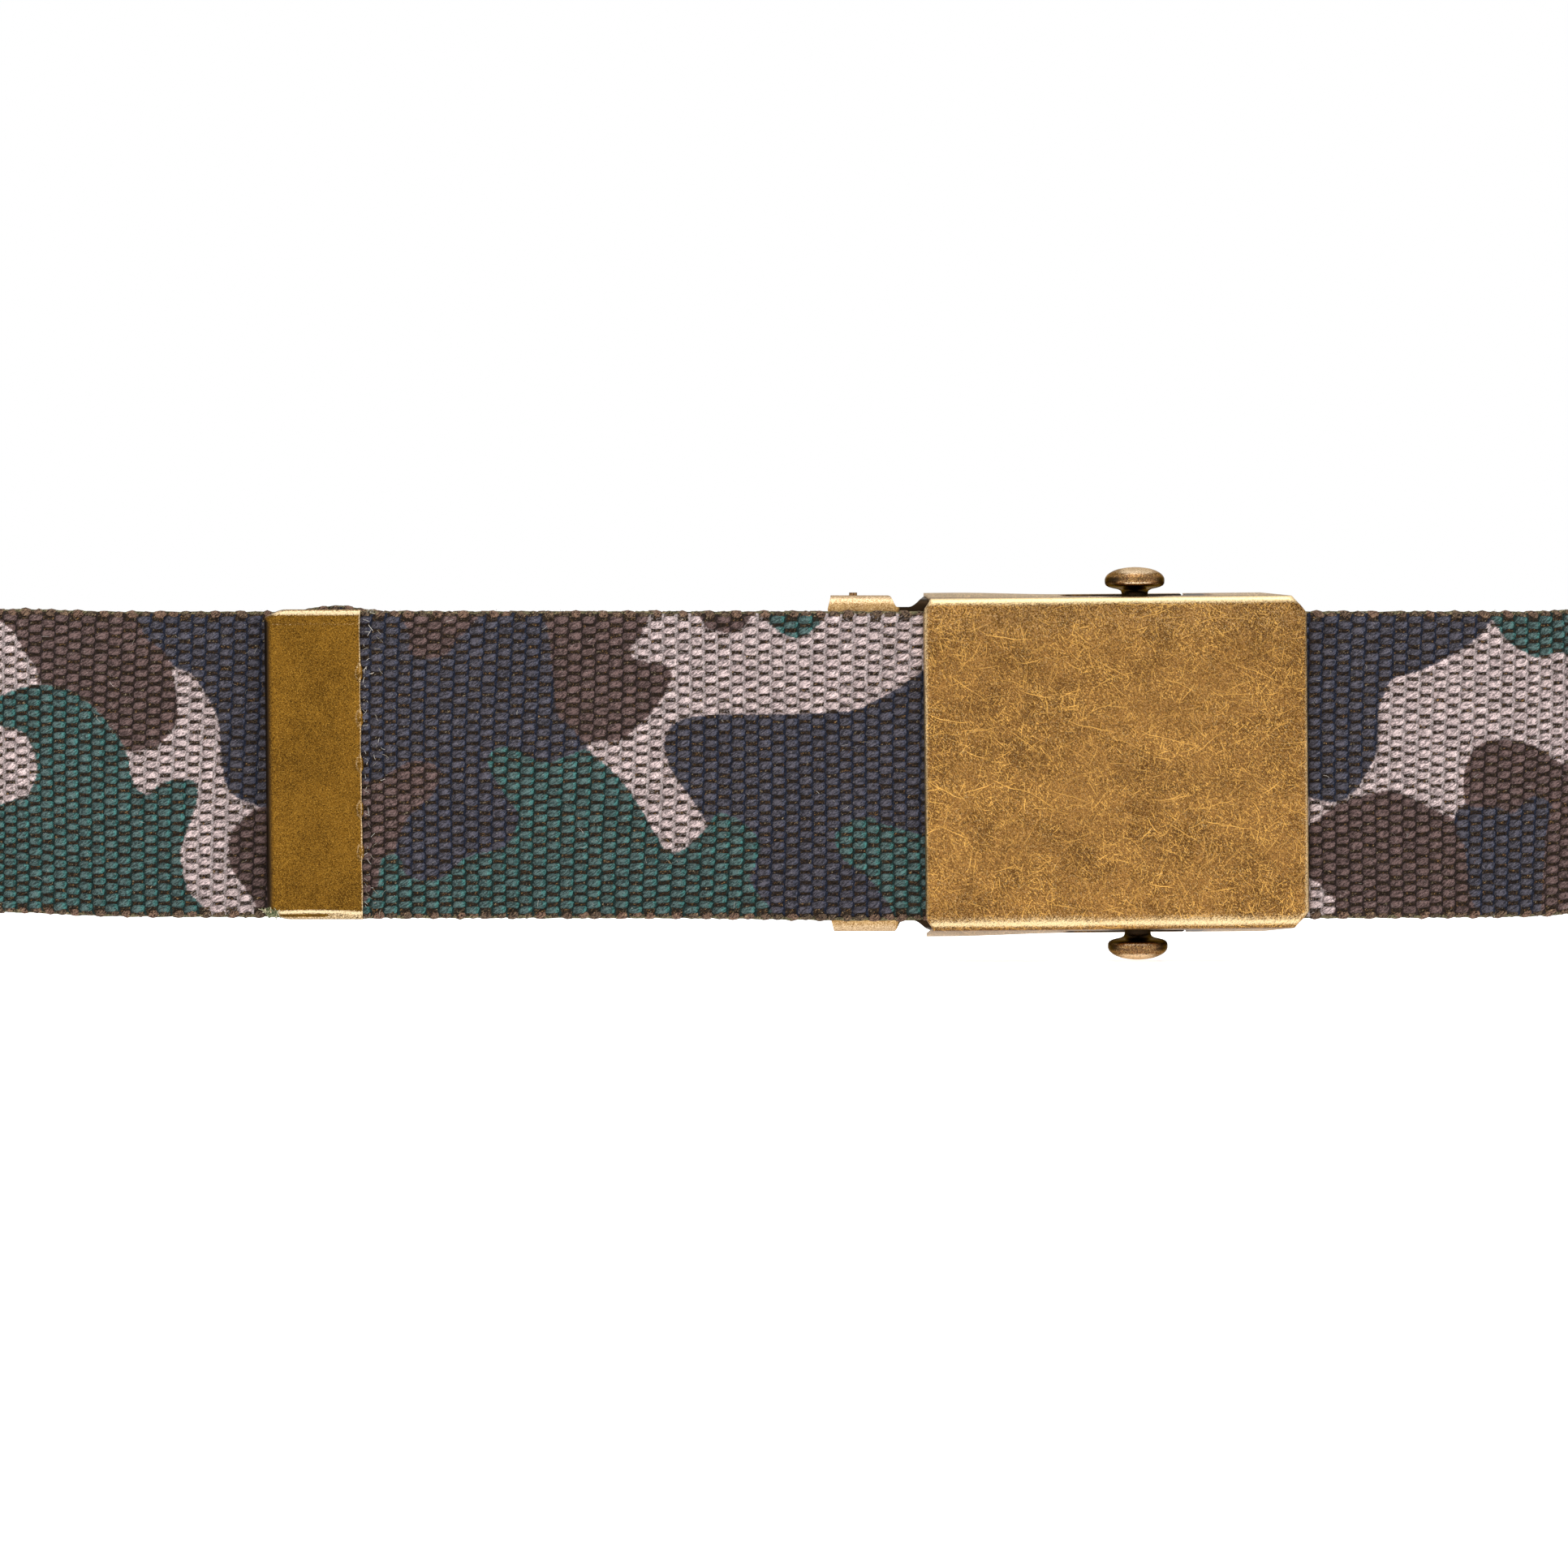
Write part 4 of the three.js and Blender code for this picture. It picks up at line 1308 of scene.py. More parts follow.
    def _hair(self, rng: np.random.Generator, by_tip: bool) -> tuple[Array, Faces]:
        """One loose hair, curved, on the outer face or at an edge.

        Args:
            rng: Source of its place, length and curve.
            by_tip: Whether it is one of the thicker hairs beside the strap tip.

        Returns:
            Points and faces.
        """
        start = rng.uniform(self.pressed_length + 1.5, self.route.length - 30)
        if by_tip:
            start = self.pressed_length + 0.9 + rng.exponential(0.7)
        heights = (rng.uniform(0.6, self.route.width - 0.6), 0.1, self.route.width - 0.1)
        height = rng.choice(heights, p=(0.72, 0.14, 0.14))
        length, turn = rng.uniform(0.25, 0.95), rng.uniform(0, 2 * pi)
        share = np.linspace(-0.5, 0.5, 4)
        bend = rng.uniform(-0.5, 0.5) * share ** 2
        x = start + length * (share * cos(turn) - bend * sin(turn))
        y = height + length * (share * sin(turn) + bend * cos(turn))
        low = rng.uniform(-0.5, 0.9) if height in heights[1:] else self.half_core + 0.3
        z = low + 0.16 * rng.uniform(0.2, 1) * np.cos(share * 3)
        thick = rng.uniform(0.020, 0.036) if by_tip else rng.uniform(0.010, 0.020)
        return tube(np.column_stack([x, y, z]), np.full(len(share), thick), 3)

    def lint(self) -> Piece:
        """Loose hairs that stand out of the outer face and the edges."""
        rng = np.random.default_rng(SEED + 1)
        shapes, tints = [], []
        for number in range(self.hairs):
            by_tip = number < self.tip_hairs
            shapes.append(self._hair(rng, by_tip))
            tints.append(rng.uniform(0.6, 1.0) if by_tip else rng.uniform())
        piece = joined("web_lint", shapes, {"tint": tints}, 1.0)
        return self._laid(piece, self.finish.lint())

    def build(self) -> None:
        fine = self.yarn("yarn_fine", 10, ((1.0, -0.08), (0.93, 0.15), (0.6, 0.30)), self.yarn_rise)
        plain = self.yarn("yarn_plain", 6, ((1.0, -0.04), (0.66, 0.27)), None)
        inner = self.yarn("yarn_inner", 5, ((1.0, -0.04), (0.66, 0.27)), None)
        printed, unprinted = self.finish.yarns(True), self.finish.yarns(False)
        first, side, back = self.first_visible, (self.front_end + self.behind) // 2, self.columns // 2
        covered = self.clamped - self.covered_columns
        stretches = (
            ("web_yarns_front", fine, Side.OUTER, first, self.front_end, printed),
            ("web_yarns_right", plain, Side.OUTER, self.front_end, side, printed),
            ("web_yarns_left", plain, Side.OUTER, side, self.behind, printed),
            ("web_yarns_behind", fine, Side.OUTER, self.behind, self.hidden, printed),
            ("web_yarns_hidden", plain, Side.OUTER, self.hidden, covered, printed),
            ("web_yarns_inner_right", inner, Side.INNER, first, back, unprinted),
            ("web_yarns_inner_left", inner, Side.INNER, back, self.clamped, unprinted),
        )
        parts = [
            self.yarns(name, yarn, face, start, end, SEED + number, material)
            for number, (name, yarn, face, start, end, material) in enumerate(stretches)
        ]
        parts += [self.edging(), self.lint()]
        core = self.core()
        for helper in (self.guide, fine, plain, inner):
            bpy.data.objects.remove(helper)
        for part in (core, *parts):
            hand_over(part, Slot.WEBBING, "webbing_strap")


# Metal


@dataclass(frozen=True)
class AntiqueBrass:
    """Stamped brass sheet, chemically darkened and then tumbled.

    The eye gets a brown-gold ground with darker clouds, a dense net of short bright scratches, fine pits,
    pale worn metal that also paints highlights on bends and edges, and dark tarnish that also paints shade.
    """

    name: str
    dark: str
    ground: str
    scratch: str
    bare_and_highlight: str = "#ead0a0"
    pitted: str = "#4c351a"
    patina_and_shade: str = "#2c2116"
    grazing: str = "#e8e4e0"
    spark: str = "#f2d9a0"
    rough: float = 0.42
    scratches: float = 0.88
    glint: float = 0.3
    cloud: float = 6.0
    blotch: float = 1.3
    patch: float = 3.8
    pit: float = 0.13
    fan: float = 4.6
    even_cell: float = 2.6
    wander: float = 0.65
    layers: tuple[Point2, ...] = (
        (9.5, 0.065), (7.1, 0.06), (5.3, 0.056), (4.1, 0.052), (3.2, 0.05), (2.4, 0.046), (1.8, 0.045),
        (1.3, 0.042),
    )

    def _strokes(self, shade: Shade, place: Socket, cell: float, width: float, older: Any) -> Socket:
        """A layer of separate curved scratches, one in each cell of a scattered grid.

        Args:
            shade: The material.
            place: Coordinates in millimetres.
            cell: Distance between two scratches.
            width: Half width of a scratch at its middle.
            older: The layers before it; a new scratch jumps a little where it crosses one.

        Returns:
            How strongly a place is scratched, from 0 to 1.
        """
        add = shade.add
        moved = add("VectorMath.ADD", place, add("Math.MULTIPLY_ADD", older, 0.06, 7.7 * cell))
        cells = add("TexVoronoi.2D", moved, 1 / cell).node.outputs
        local = add("VectorMath.SUBTRACT", moved, cells["Position"])
        random = add("SeparateColor", cells["Color"]).node.outputs
        fan = self.fan * min(1.0, self.even_cell / cell)
        angle = add("Math.MULTIPLY_ADD", random[0], fan, -fan / 2)
        turned = add("VectorRotate.Z_AXIS", local, Angle=angle)
        u, v, _ = add("SeparateXYZ", turned).node.outputs
        reach = add("Math.MULTIPLY_ADD", random[2], 0.42 * cell, 0.18 * cell)
        share = add("Math.POWER", add("Math.ABSOLUTE", add("Math.DIVIDE", u, reach)), 2.0)
        bend = add("Math.MULTIPLY_ADD", random[1], 0.8 / cell, -0.4 / cell)
        arch = add("Math.MULTIPLY", bend, add("Math.MULTIPLY", u, u))
        off = add("Math.ABSOLUTE", add("Math.SUBTRACT", v, arch))
        half = add("Math.MULTIPLY", add("Math.SUBTRACT", 1.0, share), width)
        inside = add("Math.SUBTRACT", half, off)
        strength = add("Math.MULTIPLY_ADD", random[1], 0.6, 0.4)
        return add("Math.MULTIPLY", add(EASE, inside, 0.0, width * 0.6), strength)

    def material(self) -> Material:
        """The finish as a material, reading Object coordinates and the attribute of each piece's worn places
        and painted light.
        """
        shade = Shade(self.name)
        add = shade.add
        place = add("VectorMath.SCALE", add("TexCoord", out="Object"), 1 / MM)
        front = add("Mapping", place, Rotation=(-pi / 2, 0, 0))
        bent = add("TexNoise", front, 0.45, 1.0, out="Color")
        swayed = add("VectorMath.MULTIPLY_ADD", bent, (self.wander,) * 3, front)
        cloud = add(EASE, shade.grain(front, self.cloud, 3.0, 0.6), 0.34, 0.66)
        blotch = add(EASE, shade.grain(front, self.blotch, 3.0, 0.7), 0.35, 0.68)
        # The tumbling grit's own marks are finer; they are drawn at 0.13 mm to show
        grit = shade.grain(front, self.pit, 2.0, 0.8, (1.6, 1.0, 1.0), 30.0, 0.6)
        chaff = shade.grain(front, self.pit * 1.1, 2.0, 0.7, (2.2, 1.0, 1.0), -48.0, 0.5)
        body = add("Math.MULTIPLY_ADD", cloud, 0.26, add("Math.MULTIPLY", blotch, 0.2))
        body = add("Math.MULTIPLY_ADD", add(EASE, grit, 0.38, 0.60), 0.50, body)
        colour = add("Mix.RGBA", add(EASE, body, 0.10, 0.85), self.dark, self.ground)
        pits = add("Math.MULTIPLY", add(EASE, grit, 0.46, 0.36), 0.9)
        colour = add("Mix.RGBA", pits, colour, self.pitted)
        marks = add("Math.MULTIPLY", add(EASE, chaff, 0.54, 0.64), 0.7)
        for cell, width in self.layers:
            marks = add("Math.MAXIMUM", marks, self._strokes(shade, swayed, cell, width, marks))
        patches = add(EASE, shade.grain(front, self.patch, 2.0), 0.36, 0.64, 0.55, 1.0)
        marks = add("Math.MULTIPLY", marks, patches)
        colour = add("Mix.RGBA", add("Math.MULTIPLY", marks, self.scratches), colour, self.scratch)
        sparks = add(EASE, shade.grain(front, self.pit * 0.9, 1.0, 0.5), 0.62, 0.70)
        colour = add("Mix.RGBA", add("Math.MULTIPLY", sparks, self.glint), colour, self.spark)
        # Pale worn metal where the attribute is high, which also paints highlights; dark tarnish where it is
        # negative, which also paints shade
        wear = add("Attribute.wear", out="Fac")
        rubbed_and_lit = add("Math.MULTIPLY_ADD", add("Math.SUBTRACT", grit, 0.5), 1.8, wear)
        colour = add("Mix.RGBA", add(EASE, rubbed_and_lit, 0.32, 1.05), colour, self.bare_and_highlight)
        colour = add("Mix.RGBA", add(EASE, wear, -0.1, -0.9), colour, self.patina_and_shade)
        rough = add("Math.MULTIPLY_ADD", cloud, -0.05, self.rough + 0.03)
        rough = add("Math.MULTIPLY_ADD", marks, -0.12, rough)
        height = add("Math.SUBTRACT", add("Math.MULTIPLY", grit, 0.5), add("Math.MULTIPLY", marks, 0.5))
        shade.shader.inputs["Specular Tint"].default_value = linear(self.grazing)
        return shade.finish(colour, rough, height, 0.02, 0.7, Metallic=1.0)


def vertices_mm(piece: Piece) -> Array:
    """A piece's vertices in millimetres, one row each."""
    spots = np.zeros(len(piece.data.vertices) * 3, np.float32)
    piece.data.vertices.foreach_get("co", spots)
    return spots.reshape(-1, 3).astype(float) / MM


def moved(piece: Piece, rule: Rule) -> None:
    """Moves each vertex to where a rule puts it, from its place in millimetres."""
    piece.data.vertices.foreach_set("co", (rule(vertices_mm(piece)) * MM).astype(np.float32).ravel())


def dressed(piece: Piece, wear: Rule, finish: AntiqueBrass) -> Piece:
    """Gives a piece its worn places and painted light, and its finish.

    Args:
        piece: The piece.
        wear: Each vertex's value from its place in millimetres: 1 is pale worn metal, also used for painted
            highlights, 0 plain, -1 dark tarnish, also used for painted shade.
        finish: The brass it is made of.

    Returns:
        The piece.
    """
    set_attribute(piece, "wear", np.clip(wear(vertices_mm(piece)), -1, 1))
    piece.data.materials.append(finish.material())
    return piece


def add_modifier(piece: Piece, kind: str, **settings: Any) -> None:
    """Adds a modifier with its settings."""
    modifier = piece.modifiers.new(kind.lower(), kind)
    for name, value in settings.items():
        setattr(modifier, name, value)


def thickened(piece: Piece, thickness: float) -> None:
    """Gives a sheet its thickness, inwards from the drawn surface."""
    add_modifier(piece, "SOLIDIFY", thickness=thickness * MM, offset=-1.0, use_even_offset=True)


def grid_faces(rows: int, columns: int) -> Faces:
    """Quads of a grid whose vertices run along its rows."""
    return [
        (r * columns + c, r * columns + c + 1, (r + 1) * columns + c + 1, (r + 1) * columns + c)
        for r in range(rows - 1) for c in range(columns - 1)
    ]


def prism(name: str, outline: Sequence[Point2], low: float, high: float, order: str) -> Piece:
    """A cutting prism.

    Args:
        name: The object's name.
        outline: Its section.
        low: Start of the third axis.
        high: End of the third axis.
        order: Axes of the section and of the length, such as 'xyz'.

    Returns:
        The cutter, to be removed after use.
    """
    axes = ["xyz".index(letter) for letter in order]
    count = len(outline)
    points = np.zeros((2 * count, 3))
    points[:, axes[:2]] = np.array(list(outline) * 2)
    points[:, axes[2]] = np.repeat((low, high), count)
    return outwards(mesh_from(name, points, tube_faces(2, count)))


def cut(piece: Piece, cutters: Sequence[Piece], bevel: float) -> None:
    """Cuts a piece, eases its sharp edges and keeps the result as a plain mesh.

    Args:
        piece: The piece, with its own modifiers so far.
        cutters: Closed solids to take away; they are removed afterwards.
        bevel: Width of the eased edges in millimetres.
    """
    for cutter in cutters:
        add_modifier(piece, "BOOLEAN", object=cutter, operation="DIFFERENCE", solver="EXACT")
    add_modifier(
        piece, "BEVEL", width=bevel * MM, segments=2, limit_method="ANGLE", angle_limit=radians(48),
        harden_normals=False)
    baked(piece)
    for cutter in cutters:
        bpy.data.objects.remove(cutter)
    piece.data.set_sharp_from_angle(angle=radians(38))


@dataclass(frozen=True)
class BendWearAndLight:
    """Where the plate is painted lighter near one of its long bends, and how much: a painted highlight on
    the bend over some rubbing, a painted reflection on the flange, and a painted highlight near the face's
    edge.
    """

    inset: float
    depth: float
    reach: float
    bend: float
    flange: float
    rim_start: float
    rim: float


@dataclass
class Buckle:
    """The box buckle: face plate, clamp channel with its lever, and the locking bar.

    Its points are drawn as x, depth behind the face and z, all from the middle of the face.
    """

    sheet: float = 0.45
    bend: float = 1.2
    depth: float = 9.6
    width: float = 47.2
    height: float = 40.97
    plate_rise: float = 0.115
    flare: Point2 = (0.5, 0.8)
    end_flare: float = 0.3
    rise: float = 0.27
    flange_slant: float = 5.0
    hem: float = 1.2
    hem_round: float = 0.72
    right_cut: float = 1.9
    left_cut: Point2 = (1.0, 1.5)
    left_reach: float = 0.65
    crown: float = 0.26
    crown_start: float = 11.5
    wave: float = 0.045
    lean: float = radians(0.5)
    slot: Point2 = (-6.5, 9.0)
    slot_half: float = 1.95
    slot_slant: float = 1.1
    split: Point2 = (8.6, 9.0)
    upper_wear_and_light: BendWearAndLight = BendWearAndLight(
        inset=0.1, depth=0.5, reach=1.3, bend=1.0, flange=0.62, rim_start=12.5, rim=0.27)
    lower_wear_and_light: BendWearAndLight = BendWearAndLight(
        inset=0.8, depth=0.1, reach=1.05, bend=0.95, flange=0.5, rim_start=15.5, rim=0.3)
    bar_x: float = 2.77
    bar_depth: float = 5.65
    bar_sides: int = 48
    bar_end: float = 24.34
    bar_profile: tuple[Point2, ...] = (
        (1.64, 0.0), (1.64, 8.0), (1.64, 16.0), (1.62, 21.0), (1.66, 21.24), (1.78, 21.44), (2.12, 21.6),
        (2.75, 21.74), (3.2, 21.87), (3.52, 22.04), (3.68, 22.28), (3.72, 22.6), (3.7, 22.88),
        (3.6, 23.14), (3.42, 23.38), (3.1, 23.64), (2.6, 23.9), (2.0, 24.11), (1.3, 24.24), (0.65, 24.31),
    )
    floor_front: float = 4.0
    ear_start: float = -35.5
    ear_half: float = 20.8
    ear_bend: float = 1.6
    ear_spread: float = 0.1
    ear_slip: float = 0.4
    nested_start: float = -27.2
    nested_end: float = -12.5
    nested_half: float = 20.4
    nested_bend: float = 1.0
    nested_spread: float = 0.45
    askew: float = 0.01
    notch: Point2 = (-28.05, -23.1)
    notch_depth: float = 1.4
    lower_notch: float = 0.6
    pivot: Point2 = (-32.3, 8.4)
    pivot_radius: float = 0.78
    nub_fit: Point2 = (0.995, 0.72)
    plate_finish: AntiqueBrass = AntiqueBrass(
        "antique_brass_stamped_plate", "#4b3017", "#8c6334", "#f6bd60")
    clamp_finish: AntiqueBrass = AntiqueBrass(
        "antique_brass_clamp", "#8f6c40", "#b8935c", "#dcb678", bare_and_highlight="#ead2b0", pitted="#7a5a38",
        scratches=0.6)
    bar_finish: AntiqueBrass = AntiqueBrass(
        "antique_brass_turned_bar", "#453124", "#876241", "#dba756", bare_and_highlight="#f6dcb8", pitted="#322116",
        grazing="#d0c0ac", rough=0.3, scratches=0.5, glint=0.6, spark="#ffd98c", cloud=2.5)

    def __post_init__(self) -> None:
        """Places the buckle's middle from the frame."""
        low, high = box_mm("buckle_face")
        bar_low, bar_high = box_mm("locking_bar")
        self.middle = np.array([(low[0] + high[0]) / 2, low[1], (bar_low[2] + bar_high[2]) / 2 + self.rise])

    def _placed(self, points: Array, leaning: bool) -> Array:
        """Moves points drawn round the buckle's middle to their place on the belt.

        Args:
            points: Rows of x, depth and z.
            leaning: Whether the piece leans with the face plate.

        Returns:
            The placed points.
        """
        turn = self.lean if leaning else 0.0
        c, s = cos(turn), sin(turn)
        x, y, z = points.T
        return np.column_stack([x * c - z * s, y, x * s + z * c]) + self.middle

    def _waves(self, x: Array, z: Array) -> Array:
        """Shallow unevenness that a pressed sheet has."""
        slow = np.sin(x * 0.31 + 1.3) * np.sin(z * 0.27 + 0.4)
        return self.wave * (slow + 0.5 * np.sin(x * 0.63 + z * 0.5))

    def _plate_rows(self) -> list[Point3]:
        """Rows of the plate from its lower flange's end to its upper one: (depth, z, face share)."""
        half, flat = self.height / 2, self.height / 2 - self.bend
        reach = self.depth - self.bend
        sides = []
        for flare in self.flare:
            rows = [(self.bend + share * reach, half + flare * share, 0.0)
                    for share in np.linspace(1, 0, 9)[:-1]]
            rows += [(self.bend * (1 - cos(a)), flat + self.bend * sin(a), cos(a) ** 2)
                     for a in np.radians(np.linspace(90, 0, 10))]
            sides.append(rows)
        upper, lower = sides
        face = [(0.0, z, 1.0) for z in np.linspace(-flat, flat, 44)[1:-1]]
        return [(d, -z, f) for d, z, f in lower] + face + upper[::-1]

    def _plate_row(self, depth: float, z: float, face: float) -> list[Point3]:
        """One row of the plate, from its left hem to its right one.

        Args:
            depth: The row's depth behind the face.
            z: Its height over the middle.
            face: 1 on the face, 0 on a flange, and between them round the bend.

        Returns:
            The row's points.
        """
        half_w, half_h, turn = self.width / 2, self.height / 2, self.hem_round
        high = min(abs(z), half_h)
        share = max(0.0, depth - self.bend) / (self.depth - self.bend)
        cut_x, cut_z = self.left_cut
        right = half_w - max(0.0, high - (half_h - self.right_cut))
        right -= share * (self.flange_slant - self.right_cut)
        left = -half_w + max(0.0, high - (half_h - cut_z)) * cut_x / cut_z - share * self.left_reach
        crown = self.crown * float(smooth((high - self.crown_start) / (half_h - self.crown_start))) * face
        side = [(-0.001 if face > 0.5 else -0.06, self.hem * face)]
        side += [(turn * (1 - sin(a)), turn * (1 - cos(a)) * face)
                 for a in np.radians(np.linspace(90, 0, 7))]
        inner = np.linspace(left + turn, right - turn, 49)[1:-1]
        row = [(left + a, b) for a, b in side] + [(x, 0.0) for x in inner]
        row += [(right - a, b) for a, b in side[::-1]]
        return [(x, depth + b + crown, z) for x, b in row]

    def plate(self) -> Piece:
        """The face plate with hemmed sides, cut corners, flanges and bar slots."""
        rows = [self._plate_row(*row) for row in self._plate_rows()]
        shape = np.array(rows).reshape(-1, 3)
        wave = self._waves(shape[:, 0], shape[:, 2]) * smooth(1 - shape[:, 1] / 2)
        shape[:, 1] += wave - min(0.0, float((shape[:, 1] + wave).min()))
        back = smooth((shape[:, 1] - self.bend) / (self.depth - self.bend))
        spread = self.end_flare * smooth((-shape[:, 0] - 6) / 14) * back
        shape[:, 2] += spread * np.sign(shape[:, 2]) + self.plate_rise
        piece = mesh_from("buckle_plate", self._placed(shape, True), grid_faces(len(rows), len(rows[0])))
        thickened(piece, self.sheet)
        cut(piece, self._slot_cutters(), 0.07)
        return dressed(piece, self._plate_wear, self.plate_finish)

    def _plate_wear(self, spots: Array) -> Array:
        """The plate's worn places and painted light: paler at its hemmed sides, painted highlights on its
        upper and lower bends over some rubbing, painted reflections on its flanges, a painted highlight near
        its top and bottom, and painted shade round the bar's slots.
        """
        x, depth, z = (spots - self.middle).T
        z = z * cos(self.lean) - x * sin(self.lean) - self.plate_rise
        bare_and_highlight = 0.7 * smooth(1 - (self.width / 2 - np.abs(x)) / 0.9)
        for wear, here in ((self.upper_wear_and_light, z >= 0), (self.lower_wear_and_light, z < 0)):
            from_bend = np.abs(self.height / 2 - np.abs(z) - wear.inset) + np.abs(depth - wear.depth)
            # Painted highlight along the bend, over some rubbing
            bend = wear.bend * smooth(1.2 - from_bend / wear.reach)
            # Painted reflection: the flange lighter behind the bend
            flange = wear.flange * smooth((depth - 1.5) / 2)
            # Painted highlight: the face lighter near its top and bottom
            rim = wear.rim * smooth((np.abs(z) - wear.rim_start) / 5.0)
            bare_and_highlight = np.where(here, np.maximum.reduce([bare_and_highlight, bend, flange, rim]), bare_and_highlight)
        # Painted shade on the flanges round the bar's slot
        slot_shade = smooth((9.5 - np.abs(x - self.bar_x)) / 1.5) * smooth((depth - 3.0) / 0.6)
        return bare_and_highlight - 1.6 * slot_shade * smooth((8.4 - depth) / 0.5)

    def _slot_cutters(self) -> list[Piece]:
        """Solids that cut the bar's slot and the split in its back rail through both flanges."""
        left, right = self.slot[0] + self.slot_half, self.slot[1] - self.slot_half
        slope = self.slot_slant / (self.slot[1] - self.slot[0])
        near = self.bar_depth - slope * (right - self.bar_x)
        far = self.bar_depth + slope * (self.bar_x - left)
        angles = np.radians(np.linspace(90, 270, 13))
        slot = [(left + self.slot_half * cos(a), far + self.slot_half * sin(a)) for a in angles]
        slot += [(right - self.slot_half * cos(a), near - self.slot_half * sin(a)) for a in angles]
        start, end = self.split
        back = self.depth + 2
        split = [(start, self.bar_depth), (end, self.bar_depth), (end, back), (start, back)]
        cutters = []
        for name, outline in (("slot_cutter", slot), ("split_cutter", split)):
            cutter = prism(name, outline, -self.height, self.height, "xyz")
            moved(cutter, lambda spots: self._placed(spots, True))
            cutters.append(cutter)
        return cutters

    def _channel_section(self, x: float) -> list[Point3]:
        """The channel's section at one place along it.

        Args:
            x: The place.

        Returns:
            Its points, from the lower flange's end to the upper one's.
        """
        nested = float(smooth((x - self.nested_start) / 2.2))
        half = self.ear_half + nested * (self.nested_half - self.ear_half)
        turn = self.ear_bend + nested * (self.nested_bend - self.ear_bend)
        spread = self.ear_spread + nested * (self.nested_spread - self.ear_spread)
        edge = self.ear_slip * float(smooth(1 - (x - self.ear_start) / 1.6))
        run = self.depth - self.floor_front - turn
        upper = [(turn * (1 - cos(a)), half - turn + turn * sin(a), edge * sin(a))
                 for a in np.radians(np.linspace(0, 90, 10))]
        upper += [(turn + share * run, half + spread * share, edge) for share in np.linspace(0, 1, 6)[1:]]
        floor = [(0.0, z, 0.0) for z in np.linspace(turn - half, half - turn, 23)[1:-1]]
        section = [(depth, -z, slip) for depth, z, slip in upper[::-1]] + floor + upper
        return [(x + slip + self.askew * (self.ear_half - z), self.floor_front + depth, z)
                for depth, z, slip in section]

    def channel(self) -> Piece:
        """The clamp channel: ears beside the plate, a notch, and the part nested under the plate."""
        xs = (*np.linspace(self.ear_start, -28.5, 15), *np.linspace(-28, -24, 9),
              *np.linspace(-23.4, self.nested_end, 16))
        sections = np.array([self._channel_section(x) for x in xs])
        shape = self._placed(sections.transpose(1, 0, 2).reshape(-1, 3), False)
        piece = mesh_from("clamp_channel", shape, grid_faces(sections.shape[1], len(xs)))
        thickened(piece, self.sheet)
        cut(piece, self._notch_cutters(), 0.06)
        return dressed(piece, self._channel_wear_and_light, self.clamp_finish)

    def _channel_wear_and_light(self, spots: Array) -> Array:
        """The channel's worn places and painted light: its ears paler, with a painted highlight on their
        shoulders, and painted shade on the part nested under the plate.
        """
        x, depth, z = (spots - self.middle).T
        from_front = depth - self.floor_front
        # Painted highlight on the shoulder of each ear
        shoulder = smooth(np.abs(z) - (self.ear_half - self.notch_depth)) * smooth(1.2 - from_front / 2.0)
        # Painted shade on the part nested under the plate
        nested = smooth((x - self.nested_start - 0.1) / 0.4)
        return (0.35 + 0.35 * shoulder) * (1 - nested) - nested

    def _notch_cutters(self) -> list[Piece]:
        """Solids that cut the curved notch beside each ear, and the lever's pivot holes."""
        top, past = self.ear_half, self.ear_half + 3.2
        low = top - self.notch_depth
        start, end = self.notch
        share = np.linspace(0, 1, 9)
        left = [(start + 0.2 + 0.95 * s, top - self.notch_depth * float(smooth(s))) for s in share]
        right = [(end - 2.4 + 2.1 * s, low + self.notch_depth * float(smooth(s * 0.8) / smooth(0.8)))
                 for s in share]
        outline = [(start - 0.55, past), (start, top + 0.3), *left, *right, (end, past)]
        cutters = []
        for sign, slip in ((1, 0.0), (-1, self.lower_notch)):
            placed = [(x + slip + self.middle[0], sign * z + self.middle[2]) for x, z in outline]
            near, far = self.middle[1] + 2.0, self.middle[1] + 14.0
            cutters.append(prism(f"notch_{sign}", placed, near, far, "xzy"))
        x, y = self.middle[0] + self.pivot[0], self.middle[1] + self.pivot[1]
        ring = [(x + self.pivot_radius * cos(a), y + self.pivot_radius * sin(a))
                for a in np.linspace(0, 2 * pi, 25)[:-1]]
        cutters.append(prism("pivot_hole", ring, self.middle[2] - past, self.middle[2] + past, "xyz"))
        return cutters

    def lever(self) -> Piece:
        """The toothed clamp lever: the CAD piece with its edges eased."""
        piece = mesh_object("toothed_lever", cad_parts["clamp_lever"].data.copy())
        share, lift = self.nub_fit

        def fitted(spots: Array) -> Array:
            """Fits the nubs to the ears' holes."""
            high = self.middle[2] + (spots[:, 2] - self.middle[2]) * share + lift
            return np.column_stack([spots[:, :2], high])

        moved(piece, fitted)
        outwards(piece)
        with edited(piece) as shape:
            bmesh.ops.dissolve_limit(
                shape, angle_limit=radians(1), verts=shape.verts, edges=shape.edges)
        piece.data.materials.clear()
        cut(piece, [], 0.1)
        return dressed(piece, self._lever_wear, self.bar_finish)

    def _lever_wear(self, spots: Array) -> Array:
        """Painted shade over the whole lever, but for the worn ends of its nubs, which show in the ears."""
        return -1.0 + 1.2 * smooth((np.abs(spots[:, 2] - self.middle[2]) - 20.5) / 0.3)

